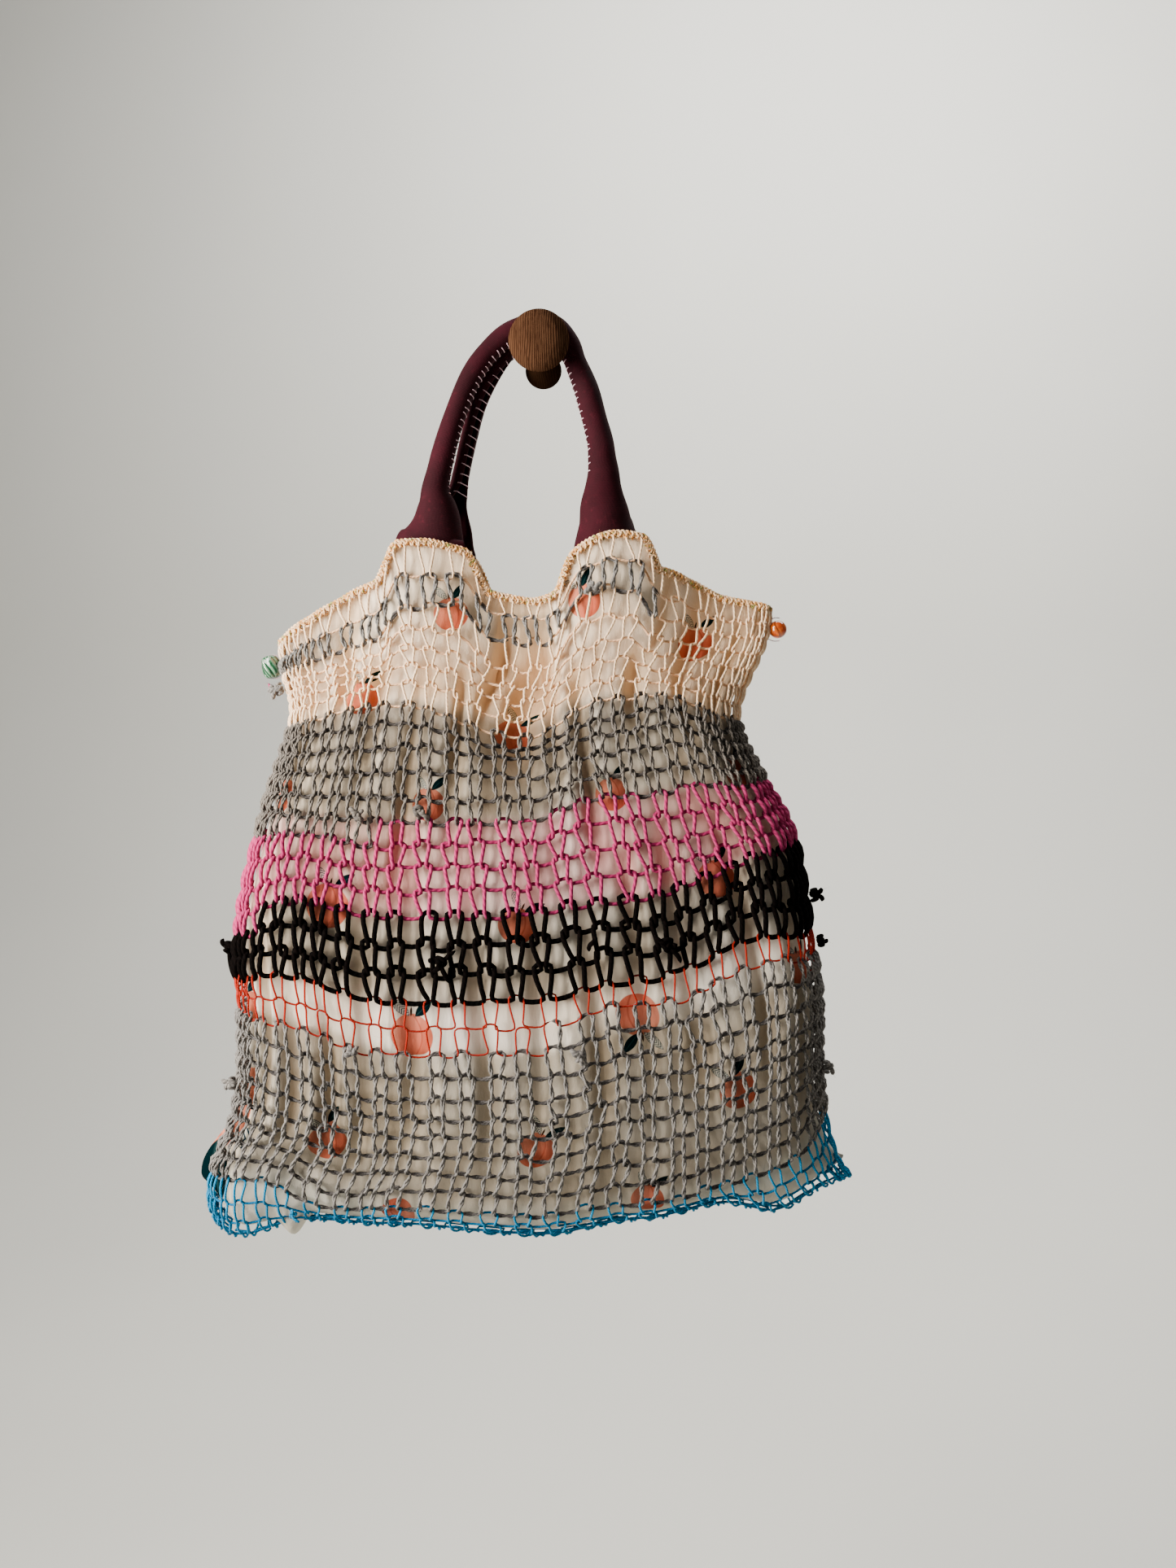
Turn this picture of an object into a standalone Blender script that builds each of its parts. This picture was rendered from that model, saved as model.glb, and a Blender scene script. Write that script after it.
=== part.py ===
"""Knitted tote bag hanging by two rolled handles from a turned wooden wall peg.

The bag is a cotton lining inside a loose net of knitted bands. Lengths in the tables are millimetres.
The origin is on the peg's axis where it meets the wall; the wall is the plane y = 0, +Z is up, and the
bag hangs in front of the wall, at negative y. The peg slants up from the wall, and the heights in the
bag's tables are counted from the middle of the peg's neck, where the handles hang.
"""

import math

import bmesh
import bpy
import numpy as np

MM = 0.001

# Peg, round about the line that slants up from the wall: distance from the wall, radius
PEG_PROFILE = (
    (66.0, 0.0),
    (65.6, 8.0),
    (64.0, 14.5),
    (61.0, 19.5),
    (56.5, 22.5),
    (52.0, 22.0),
    (48.0, 18.5),
    (45.5, 13.5),
    (40.0, 12.0),
    (20.0, 12.0),
    (8.0, 13.0),
    (0.0, 14.3),
)
PEG_SIDES = 32
# How far the peg rises for each millimetre from the wall, and how far out the bag's tables count from
PEG_SLANT = 0.136
NECK_REACH = 29.5
NECK_HEIGHT = PEG_SLANT * NECK_REACH

# The hanging cloth, one line for each level of knitting counted up from the base seam.
# Heights are given at the left edge, under the left handle, in the middle, under the right
# handle and at the right edge. The half depth is from the middle plane to the front or back.
HANG_COLUMNS = (
    "row", "left_x", "right_x", "left_z", "left_crown_z", "middle_z", "right_crown_z", "right_z",
    "half_depth", "centre_y",
)
HANG = (
    (0, -264, 243, -663, -677, -684, -671, -636, 31, -34),
    (4, -262, 221, -642, -656, -660, -651, -597, 31, -35),
    (7, -243, 216, -594, -615, -617, -604, -552, 36, -40),
    (13, -235, 213, -501, -531, -529, -511, -474, 38, -42),
    (15, -237, 207, -477, -491, -489, -473, -439, 38, -42),
    (18, -235, 195, -431, -428, -424, -413, -371, 36, -40),
    (22, -216, 172, -351, -356, -356, -337, -326, 33, -37),
    (27, -196, 152, -286, -266, -279, -262, -281, 27, -31),
    (34, -202, 174, -240, -206, -224, -194, -213, 20, -27),
    (36, -204, 176, -222, -171, -190, -163, -197, 18, -27),
)
STATIONS = (-1.0, -0.33, 0.04, 0.29, 1.0)
BASE_ROW = 4
MOUTH_ROW = 36
SIDE_RADIUS = 36.0
# Stitches are wider in the middle of a face than at its sides
GATHER = 0.16
BULGE = 0.06

# The handles pull the mouth up into two flat crowns: middle, half of the flat top, slope, lift
CROWNS = (
    (-0.287, 0.105, 0.075, 25.0),
    (0.275, 0.105, 0.065, 22.0),
)
CROWN_LOW_ROW = 26.0
CROWN_HIGH_ROW = 36.0

# Places where the base seam stands out from its plain line: across, half width, rise
EARS = (
    (-0.80, 0.15, -23.0),
    (0.66, 0.10, -13.0),
    (0.50, 0.14, 8.0),
)
# Places where the knitting rides up from its plain line: across, half width, row, rows either side, rise
LIFTS = (
    (-0.80, 0.17, 4, 6, 10.0),
    (-0.60, 0.13, 4, 5, 14.0),
    (0.76, 0.18, 4, 6, -5.0),
    (0.96, 0.10, 4, 5, 16.0),
    (-0.66, 0.17, 17, 7, 16.0),
    (0.66, 0.16, 15, 5, 14.0),
    (0.56, 0.13, 25, 5, 10.0),
    (0.66, 0.12, 36, 5, -6.0),
)
# Soft folds: across, half width, first row, last row, set back on the front, set back on the back
FOLDS = (
    (-0.33, 0.24, 27, 44, -9.0, -3.0),
    (0.26, 0.22, 27, 44, -11.0, -3.0),
    (-0.02, 0.20, 22, 44, 8.0, 3.0),
    (-0.62, 0.16, 25, 46, 5.0, 2.0),
    (-0.42, 0.14, -2, 14, 4.0, 1.0),
    (0.40, 0.16, 3, 20, 3.0, 1.0),
)
# The right side of the mouth lies behind the right handle's crown
FLAP_START = 0.40
FLAP_WIDTH = 0.24
FLAP_SET_BACK = 11.0
FLAP_FADE = 0.25
FLAP_LOW_ROW = 26
FLAP_HIGH_ROW = 33

# Bands of knitting from the base up: name, first row, last row, lines of openings, whether cut through
BANDS = (
    ("blue", 0, 4, 3, True),
    ("lower_grey", 4, 13, 4, False),
    ("red", 13, 15, 1, True),
    ("black", 15, 18, 2, True),
    ("pink", 18, 22, 2, True),
    ("upper_grey", 22, 27, 2, False),
    ("cream", 27, 34, 3, True),
    ("mouth_grey", 34, 36, 1, False),
)
BAND_COLOURS = {
    "blue": (0.02, 0.27, 0.42),
    "lower_grey": (0.22, 0.20, 0.18),
    "red": (0.50, 0.06, 0.03),
    "black": (0.012, 0.008, 0.006),
    "pink": (0.55, 0.08, 0.20),
    "upper_grey": (0.22, 0.20, 0.18),
    "cream": (0.83, 0.66, 0.52),
    "mouth_grey": (0.70, 0.52, 0.36),
}
# The knitting is counted as two stitches to an opening, and the side stitches stay whole
OPEN_COLUMNS = 14
SIDE_COLUMNS = 2
OPEN_REACH = 0.87
COVER_THICKNESS = 3.0
STRAND = 2.3
# Half the gap between the two faces of the cover at the base seam and at the side seams
SEAM_HALF = 1.1
SIDE_SEAM_HALF = 2.3

# Lining, inside the cover by these amounts: at the faces, at the sides, at the sides of the base,
# over the base seam, more over its corners, and more round the side curves
LINING_THICKNESS = 1.2
LINING_INSET = 3.0
LINING_SIDE_INSET = 6.0
LINING_BASE_SIDE_INSET = 19.0
LINING_BASE_INSET = 3.0
LINING_CORNER_INSET = 14.0
LINING_ROUND_INSET = 6.0
LINING_SEAM_HALF = 1.3

# Crocheted edging along the mouth
EDGING_RADIUS = 3.0
EDGING_LIFT = 3.55
EDGING_SHIFT = 0.8
EDGING_EDGE_HALF = 2.0
EDGING_ROW_STEP = 0.5

# Handles: strips rolled into tubes over the peg and opening flat inside the mouth. Each line is a
# place along the strip from its left tab: x, y, z, how many degrees the strip is rolled through,
# half its width, how far its open side is turned from the inside of the loop to the wall, and how
# narrow it looks from the front, where 1 is a round tube
HANDLE_THICKNESS = 2.5
HANDLE_ACROSS = 10
FRONT_HANDLE = (
    (-83, -42, -182, 25, 27.0, 90, 1.0),
    (-84, -42.5, -156, 35, 27.5, 90, 1.0),
    (-85.5, -41.5, -147, 60, 28.0, 90, 1.0),
    (-83, -40, -137, 115, 27.0, 90, 1.0),
    (-81.5, -39, -126, 165, 26.0, 85, 1.0),
    (-81, -39.5, -115, 215, 25.5, 75, 1.0),
    (-81, -39.5, -104, 290, 25.0, 45, 1.0),
    (-78, -38.5, -90, 340, 25.0, 20, 1.0),
    (-74, -38, -75, 350, 24.5, 8, 1.0),
    (-67, -37, -51, 350, 22.5, 0, 1.0),
    (-58, -35, -27, 350, 22.5, 0, 1.0),
    (-48.5, -34, -9, 350, 22.5, 0, 1.0),
    (-38, -33, 4, 350, 22.5, 0, 1.0),
    (-26, -33, 14, 350, 22.5, 0, 1.0),
    (-13, -33, 20, 350, 22.5, 0, 1.0),
    (0, -33, 22.3, 350, 22.5, 0, 1.0),
    (12.5, -33, 18.8, 350, 22.5, 0, 1.0),
    (21.5, -33, 7.5, 350, 22.5, 0, 1.0),
    (26, -34, -5, 350, 22.5, 0, 1.0),
    (30.5, -35, -16, 350, 24.0, 0, 1.0),
    (36, -37, -32, 350, 26.0, 0, 1.0),
    (41.5, -39, -52, 350, 26.0, 0, 1.0),
    (45.5, -40, -68, 335, 26.5, 5, 1.0),
    (47.5, -41, -80, 315, 27.0, 12, 1.0),
    (49, -41.5, -91, 285, 26.0, 30, 1.05),
    (49.7, -42, -104, 235, 24.5, 60, 1.12),
    (49.8, -41.5, -117, 180, 25.0, 80, 1.1),
    (50, -42, -131, 138, 26.0, 90, 1.0),
    (51, -44, -143, 80, 26.0, 90, 1.0),
    (52, -45.3, -154, 35, 26.0, 90, 1.0),
    (52, -44.6, -180, 25, 26.0, 90, 1.0),
)
BACK_HANDLE = (
    (-79, -14.7, -182, 20, 27.0, -90, 1.0),
    (-79, -15.1, -155, 30, 27.0, -90, 1.0),
    (-78, -17.5, -141, 85, 26.0, -90, 1.0),
    (-75, -16, -127, 160, 25.0, -75, 1.0),
    (-71.5, -14.5, -113, 230, 24.0, -55, 0.85),
    (-67, -13.3, -100, 290, 22.5, -40, 0.75),
    (-63.7, -13, -85, 320, 22.5, -40, 0.68),
    (-58, -13, -59, 320, 22.5, -40, 0.68),
    (-50.5, -13, -32, 320, 22.5, -35, 0.72),
    (-40.5, -13, -9, 330, 22.5, -20, 0.85),
    (-29, -13, 8, 345, 22.5, 0, 1.0),
    (-15, -13, 16.8, 350, 22.5, 0, 1.0),
    (0, -13, 19.9, 350, 22.5, 0, 1.0),
    (13, -13, 16.2, 350, 22.5, 0, 1.0),
    (22.5, -13, 5, 350, 22.5, 0, 1.0),
    (29.5, -13, -9, 345, 22.5, -10, 0.85),
    (36, -13, -30, 330, 22.5, -20, 0.72),
    (43, -13, -56, 320, 22.5, -20, 0.70),
    (47, -13, -82, 310, 23.0, -20, 0.75),
    (48.5, -13.5, -102, 250, 22.0, -50, 1.0),
    (49, -14, -118, 190, 24.0, -75, 1.0),
    (50, -18, -131, 125, 25.5, -90, 1.0),
    (50, -17.5, -143, 75, 26.0, -90, 1.0),
    (50, -15.2, -154, 30, 26.0, -90, 1.0),
    (50, -14.7, -180, 20, 26.0, -90, 1.0),
)

# Glass beads sewn to the ends of the mouth
GREEN_BEAD_ROW = 34.2
GREEN_BEAD_RADIUS = 7.4
GREEN_BEAD_LENGTH = 1.25
GREEN_BEAD_LEAN = -14.0
GREEN_FLUTES = 6
GREEN_FLUTE_DEPTH = 0.07
GREEN_FLUTE_TWIST = 3.0
# The barrel's sides are filled out from a ball's until its radius is this share of the ball's
GREEN_FILL = 0.75
GREEN_REACH = 8.3
AMBER_BEAD_ROW = 34.4
AMBER_BEAD_RADIUS = 6.9
BEAD_GAP = -0.15


def clear_scene():
    for obj in list(bpy.data.objects):
        bpy.data.objects.remove(obj, do_unlink=True)


def hang(name):
    place = HANG_COLUMNS.index(name)
    return np.array([line[place] for line in HANG], float)


HANG_ROWS = hang("row")


def ease(t):
    t = np.clip(t, 0.0, 1.0)
    return t * t * (3.0 - 2.0 * t)


def smooth_curve(knots, values, x):
    """The cubic curve through the values at the knots, with central slopes, read at x."""
    slopes = np.gradient(values, knots)
    first = np.clip(np.searchsorted(knots, x) - 1, 0, len(knots) - 2)
    span = knots[first + 1] - knots[first]
    t = (x - knots[first]) / span
    start = (2 * t**3 - 3 * t**2 + 1) * values[first] + (t**3 - 2 * t**2 + t) * span * slopes[first]
    end = (3 * t**2 - 2 * t**3) * values[first + 1] + (t**3 - t**2) * span * slopes[first + 1]
    return start + end


def level(name, row):
    """A hanging column above the base, where it follows the knitting rows from the base row up."""
    return smooth_curve(HANG_ROWS[1:], hang(name)[1:], np.maximum(row, BASE_ROW))


def across_stations(across, heights):
    height = heights[0] + 0.0 * across
    for k in range(len(STATIONS) - 1):
        t = (across - STATIONS[k]) / (STATIONS[k + 1] - STATIONS[k])
        height = height + (heights[k + 1] - heights[k]) * ease(t)
    return height


def bump(across, centre, half_width):
    return np.exp(-(((across - centre) / half_width) ** 2))


HEIGHT_COLUMNS = ("left_z", "left_crown_z", "middle_z", "right_crown_z", "right_z")


def wall_height(across, row):
    """Height of the cloth from the base row up."""
    height = across_stations(across, [level(name, row) for name in HEIGHT_COLUMNS])
    pull = ease((row - CROWN_LOW_ROW) / (CROWN_HIGH_ROW - CROWN_LOW_ROW))
    for middle, flat_half, slope, lift in CROWNS:
        height = height + lift * pull * ease((flat_half + slope - np.abs(across - middle)) / slope)
    for middle, half_width, most_row, reach, rise in LIFTS:
        fade = ease(1.0 - np.abs(row - most_row) / reach)
        height = height + rise * fade * bump(across, middle, half_width)
    return height


def cloth_height(across, row, base_rise):
    """Height of the cloth on the tables. Below the base row it turns under to the seam on a quarter round."""
    top = wall_height(across, np.maximum(row, BASE_ROW))
    seam = across_stations(across, [hang(name)[0] for name in HEIGHT_COLUMNS])
    for middle, half_width, rise in EARS:
        seam = seam + rise * bump(across, middle, half_width)
    turn = np.clip(row / BASE_ROW, 0.0, 1.0) * math.pi / 2
    return top - (top - seam - base_rise) * np.cos(turn)


def set_back(across, row, side):
    """How far the cloth is pushed in from its plain section by the folds."""
    total = 0.0 * across
    for centre, half_width, first, last, front, back in FOLDS:
        middle = (first + last) / 2
        fade = ease(1.0 - np.abs(row - middle) / ((last - first) / 2))
        total = total + (front if side > 0 else back) * fade * bump(across, centre, half_width)
    if side > 0:
        step = ease((across - FLAP_START) / FLAP_WIDTH) * ease((1.0 - across) / FLAP_FADE)
        fade = ease((row - FLAP_LOW_ROW) / (FLAP_HIGH_ROW - FLAP_LOW_ROW))
        total = total + FLAP_SET_BACK * step * fade
    return total


def cloth(across, row, side, depth_inset=0.0, side_inset=0.0, base_rise=0.0, edge_half=None):
    """Points of the hanging cloth in millimetres.

    across runs from -1 at the left edge to 1 at the right, row counts knitting rows up from the
    base seam, and side is 1 for the front and -1 for the back.
    """
    across, row = np.broadcast_arrays(np.asarray(across, float), np.asarray(row, float))
    left = smooth_curve(HANG_ROWS, hang("left_x"), row)
    right = smooth_curve(HANG_ROWS, hang("right_x"), row)
    half_width = (right - left) / 2
    spread = (1 + GATHER) * across - GATHER * across**3
    flat = half_width - SIDE_RADIUS
    reach = np.abs(spread) * (flat + SIDE_RADIUS * math.pi / 2)
    angle = np.clip((reach - flat) / SIDE_RADIUS, 0.0, math.pi / 2)
    x = np.minimum(reach, flat) + (SIDE_RADIUS - side_inset) * np.sin(angle)
    x = (left + right) / 2 + np.sign(spread) * x
    turn = np.clip(row / BASE_ROW, 0.0, 1.0) * math.pi / 2
    inset = depth_inset + LINING_ROUND_INSET * np.sin(angle) ** 2 * (side_inset > 0)
    depth = level("half_depth", row) - inset
    depth = depth * (1.0 - BULGE + BULGE * np.cos(spread * math.pi / 2)) - set_back(across, row, side)
    if edge_half is None:
        edge_half = SEAM_HALF + (SIDE_SEAM_HALF - SEAM_HALF) * across**4
    rounded = np.cos(angle) * np.sin(turn)
    centre = level("centre_y", row)
    y = centre - side * (edge_half + (depth - edge_half) * rounded)
    return np.stack([x, y, cloth_height(across, row, base_rise) + NECK_HEIGHT], axis=-1)


def column_lines():
    """Where the columns of openings begin and end, from one side edge to the other."""
    inner = np.linspace(-OPEN_REACH, OPEN_REACH, OPEN_COLUMNS + 1)
    outer = np.linspace(OPEN_REACH, 1.0, SIDE_COLUMNS + 1)[1:]
    return np.concatenate([-outer[::-1], inner, outer])


def row_lines():
    """(row, name of the band above, whether it is cut) for each line of openings."""
    lines = []
    for name, first, last, count, cut in BANDS:
        for k in range(count):
            lines.append((first + (last - first) * k / count, name, cut))
    return lines


def halfway_added(values):
    middles = (values[1:] + values[:-1]) / 2
    return np.sort(np.concatenate([values, middles]))


def material(name, colour, roughness, metallic=0.0):
    made = bpy.data.materials.new(name)
    made.use_nodes = True
    shader = made.node_tree.nodes["Principled BSDF"]
    shader.inputs["Base Color"].default_value = (*colour, 1.0)
    shader.inputs["Roughness"].default_value = roughness
    shader.inputs["Metallic"].default_value = metallic
    return made


def add_object(name, mesh, materials, collection):
    obj = bpy.data.objects.new(name, mesh)
    for item in materials:
        obj.data.materials.append(item)
    collection.objects.link(obj)
    return obj


def mesh_from(bm, name):
    mesh = bpy.data.meshes.new(name)
    bm.to_mesh(mesh)
    bm.free()
    return mesh


def thicken(obj, thickness, offset):
    solidify = obj.modifiers.new("Thickness", "SOLIDIFY")
    solidify.thickness = thickness * MM
    solidify.offset = offset
    solidify.use_even_offset = True
    solidify.use_rim = True


def shade(obj, angle):
    obj.data.shade_smooth()
    obj.data.set_sharp_from_angle(angle=math.radians(angle))


def make_peg(collection):
    """A round peg with a knob. Its foot is cut flat to the wall."""
    bm = bmesh.new()
    rings = []
    for reach, radius in PEG_PROFILE:
        ring = []
        for k in range(PEG_SIDES if radius else 1):
            angle = 2 * math.pi * k / PEG_SIDES
            height = radius * math.cos(angle) + PEG_SLANT * reach
            ring.append(bm.verts.new((radius * math.sin(angle) * MM, -reach * MM, height * MM)))
        rings.append(ring)
    for outer, inner in zip(rings[:-1], rings[1:]):
        for k in range(PEG_SIDES):
            after = (k + 1) % PEG_SIDES
            if len(outer) == 1:
                bm.faces.new((outer[0], inner[k], inner[after]))
            else:
                bm.faces.new((outer[k], inner[k], inner[after], outer[after]))
    bm.faces.new(rings[-1])
    bmesh.ops.recalc_face_normals(bm, faces=bm.faces)
    walnut = material("walnut", (0.16, 0.065, 0.03), 0.45)
    peg = add_object("peg", mesh_from(bm, "peg"), [walnut], collection)
    shade(peg, 40)
    return peg


def add_panel(bm, points_at, side):
    """A grid of faces on the hanging cloth, finer along the mouth: (line, column, face) for each."""
    columns = column_lines()
    lines = row_lines()
    grid = []
    for row, _, _ in lines:
        grid.append([bm.verts.new(point * MM) for point in points_at(columns, row, side)])
    rim = [bm.verts.new(point * MM) for point in points_at(halfway_added(columns), MOUTH_ROW, side)]
    faces = []
    for k in range(len(lines)):
        for c in range(len(columns) - 1):
            low = [grid[k][c], grid[k][c + 1]]
            if k + 1 < len(lines):
                high = [grid[k + 1][c + 1], grid[k + 1][c]]
            else:
                high = [rim[2 * c + 2], rim[2 * c + 1], rim[2 * c]]
            loop = low + high if side > 0 else (low + high)[::-1]
            faces.append((k, c, bm.faces.new(loop)))
    return faces


def make_cover(name, side, collection):
    """One face of the knitted cover: a grid of double stitches with the open bands cut through."""
    bm = bmesh.new()
    lines = row_lines()
    band_names = [band[0] for band in BANDS]
    last_open = OPEN_COLUMNS + SIDE_COLUMNS
    open_faces = []
    for k, c, face in add_panel(bm, cloth, side):
        _, band, cut = lines[k]
        face.material_index = band_names.index(band)
        if cut and k > 0 and SIDE_COLUMNS <= c < last_open:
            open_faces.append(face)
    bm.normal_update()
    bmesh.ops.inset_individual(bm, faces=open_faces, thickness=STRAND * MM, use_even_offset=True)
    bmesh.ops.delete(bm, geom=open_faces, context="FACES_ONLY")
    materials = [material(f"{band}_yarn", BAND_COLOURS[band], 0.9) for band in band_names]
    cover = add_object(name, mesh_from(bm, name), materials, collection)
    thicken(cover, COVER_THICKNESS, 0.0)
    shade(cover, 40)
    return cover


def lining_points(across, row, side):
    corner = LINING_BASE_INSET + LINING_CORNER_INSET * np.asarray(across, float) ** 4
    low = ease((2 * BASE_ROW - row) / BASE_ROW)
    side_inset = LINING_SIDE_INSET + (LINING_BASE_SIDE_INSET - LINING_SIDE_INSET) * low
    return cloth(across, row, side, LINING_INSET, side_inset, corner, LINING_SEAM_HALF)


def make_lining(name, side, collection):
    """One panel of the lining, thickened towards the inside of the bag."""
    bm = bmesh.new()
    add_panel(bm, lining_points, side)
    cotton = material("white_cotton", (0.85, 0.80, 0.72), 0.85)
    lining = add_object(name, mesh_from(bm, name), [cotton], collection)
    thicken(lining, LINING_THICKNESS, -1.0)
    shade(lining, 40)
    return lining


def make_edging(collection):
    """A crocheted cord that lies along the mouth, on the edges of the cover and the lining."""
    across = halfway_added(column_lines())
    points = []
    climbs = []
    for side in (1, -1):
        here = cloth(across, MOUTH_ROW, side, EDGING_SHIFT, edge_half=EDGING_EDGE_HALF)
        lower_row = MOUTH_ROW - EDGING_ROW_STEP
        below = cloth(across, lower_row, side, EDGING_SHIFT, edge_half=EDGING_EDGE_HALF)
        order = slice(None, None, side)
        points.append(here[order])
        climbs.append((here - below)[order])
    points = np.concatenate(points)
    climbs = np.concatenate(climbs)
    along = np.roll(points, -1, axis=0) - np.roll(points, 1, axis=0)
    along /= np.linalg.norm(along, axis=1, keepdims=True)
    lift = climbs - along * np.sum(climbs * along, axis=1, keepdims=True)
    lift /= np.linalg.norm(lift, axis=1, keepdims=True)
    points = points + EDGING_LIFT * lift
    curve = bpy.data.curves.new("top_edging", "CURVE")
    curve.dimensions = "3D"
    curve.bevel_depth = EDGING_RADIUS * MM
    curve.bevel_resolution = 1
    curve.use_fill_caps = True
    spline = curve.splines.new("POLY")
    spline.points.add(len(points) - 1)
    for place, point in zip(spline.points, points):
        place.co = (*(point * MM), 1.0)
    spline.use_cyclic_u = True
    crochet = material("variegated_crochet", (0.55, 0.33, 0.16), 0.85)
    return add_object("top_edging", curve, [crochet], collection)


def handle_section(place, tangent):
    """Points across the strip: flat at roll 0, a closed tube at a full roll."""
    x, y, z, roll, half_width, turn, narrow = place
    inward = np.array([tangent[2], 0.0, -tangent[0]])
    inward /= np.linalg.norm(inward)
    to_wall = np.array([0.0, 1.0, 0.0])
    opening = math.cos(math.radians(turn)) * inward + math.sin(math.radians(turn)) * to_wall
    opening -= tangent * np.dot(opening, tangent)
    opening /= np.linalg.norm(opening)
    sideways = np.cross(tangent, opening)
    half_angle = math.radians(roll) / 2
    radius = half_width / half_angle
    middle = radius * (1.0 + math.cos(half_angle)) / 2
    angles = np.linspace(-half_angle, half_angle, HANDLE_ACROSS + 1)[:, None]
    spokes = sideways * radius * np.sin(angles) - opening * (radius * np.cos(angles) - middle)
    spokes += (spokes @ inward * (narrow - 1.0))[:, None] * inward
    spokes += (spokes @ to_wall * (1.0 - narrow))[:, None] * to_wall
    return np.array([x, y, z + NECK_HEIGHT]) + spokes


def make_handle(name, table, collection):
    places = np.array(table, float)
    tangents = np.gradient(places[:, :3], axis=0)
    tangents /= np.linalg.norm(tangents, axis=1, keepdims=True)
    bm = bmesh.new()
    sections = []
    for place, tangent in zip(places, tangents):
        sections.append([bm.verts.new(point * MM) for point in handle_section(place, tangent)])
    for near, far in zip(sections[:-1], sections[1:]):
        for k in range(HANDLE_ACROSS):
            bm.faces.new((near[k], near[k + 1], far[k + 1], far[k]))
    cloth_material = material("burgundy_cloth", (0.075, 0.012, 0.025), 0.7)
    handle = add_object(name, mesh_from(bm, name), [cloth_material], collection)
    thicken(handle, HANDLE_THICKNESS, 0.0)
    shade(handle, 50)
    return handle


def make_green_bead(collection):
    """A twisted, fluted glass barrel at the left end of the mouth."""
    bm = bmesh.new()
    bmesh.ops.create_uvsphere(bm, u_segments=18, v_segments=7, radius=GREEN_BEAD_RADIUS * MM)
    for vert in bm.verts:
        around = math.atan2(vert.co.y, vert.co.x)
        lift = vert.co.z / (GREEN_BEAD_RADIUS * MM)
        flute = 1.0 + GREEN_FLUTE_DEPTH * math.cos(GREEN_FLUTES * around + GREEN_FLUTE_TWIST * lift)
        filled = 1.0 / max(GREEN_FILL, max(1.0 - lift * lift, 0.0) ** 0.25)
        vert.co.x *= flute * filled
        vert.co.y *= flute * filled
        vert.co.z *= GREEN_BEAD_LENGTH
    glass = material("green_glass", (0.05, 0.20, 0.09), 0.1)
    bead = add_object("bead_green", mesh_from(bm, "bead_green"), [glass], collection)
    edge = cloth(-1.0, GREEN_BEAD_ROW, 1)
    reach = GREEN_REACH + COVER_THICKNESS / 2 + BEAD_GAP
    bead.location = ((edge[0] - reach) * MM, edge[1] * MM, edge[2] * MM)
    bead.rotation_euler = (0.0, math.radians(GREEN_BEAD_LEAN), 0.0)
    shade(bead, 60)
    return bead


def make_amber_bead(collection):
    """A faceted glass bead at the right end of the mouth."""
    bm = bmesh.new()
    bmesh.ops.create_icosphere(bm, subdivisions=2, radius=AMBER_BEAD_RADIUS * MM)
    glass = material("amber_glass", (0.55, 0.13, 0.02), 0.1)
    bead = add_object("bead_amber", mesh_from(bm, "bead_amber"), [glass], collection)
    edge = cloth(1.0, AMBER_BEAD_ROW, 1)
    reach = AMBER_BEAD_RADIUS + COVER_THICKNESS / 2 + BEAD_GAP
    bead.location = ((edge[0] + reach) * MM, edge[1] * MM, edge[2] * MM)
    return bead


def main():
    clear_scene()
    collection = bpy.data.collections.new("knitted_tote_bag")
    bpy.context.scene.collection.children.link(collection)
    make_peg(collection)
    make_lining("lining_front", 1, collection)
    make_lining("lining_back", -1, collection)
    make_cover("knit_front", 1, collection)
    make_cover("knit_back", -1, collection)
    make_edging(collection)
    make_handle("handle_front", FRONT_HANDLE, collection)
    make_handle("handle_back", BACK_HANDLE, collection)
    make_green_bead(collection)
    make_amber_bead(collection)


main()
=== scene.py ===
import math
from collections import namedtuple

import bpy
import numpy as np
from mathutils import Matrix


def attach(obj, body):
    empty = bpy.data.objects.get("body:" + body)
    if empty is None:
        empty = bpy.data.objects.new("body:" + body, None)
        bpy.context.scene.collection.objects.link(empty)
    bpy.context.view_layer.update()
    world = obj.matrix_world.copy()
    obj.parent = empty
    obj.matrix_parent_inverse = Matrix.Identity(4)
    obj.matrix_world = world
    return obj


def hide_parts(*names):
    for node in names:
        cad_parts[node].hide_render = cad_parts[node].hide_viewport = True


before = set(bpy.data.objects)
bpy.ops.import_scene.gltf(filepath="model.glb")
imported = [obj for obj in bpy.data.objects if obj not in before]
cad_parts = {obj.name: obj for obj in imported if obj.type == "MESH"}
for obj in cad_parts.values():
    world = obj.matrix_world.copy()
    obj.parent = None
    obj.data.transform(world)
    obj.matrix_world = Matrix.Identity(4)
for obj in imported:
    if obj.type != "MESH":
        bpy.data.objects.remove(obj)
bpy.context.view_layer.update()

# Looks of a knitted tote bag that hangs by two rolled handles from a walnut wall peg.
# Lengths are millimetres unless a name says otherwise, in the frame of the solids: the origin is on
# the peg's axis at the wall, +Z is up, and the bag hangs at negative y.

MM = 0.001
# What would reach into the wall lies flat on its face
WALL_FACE = 0.0
WELD_M = 0.00001

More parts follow.
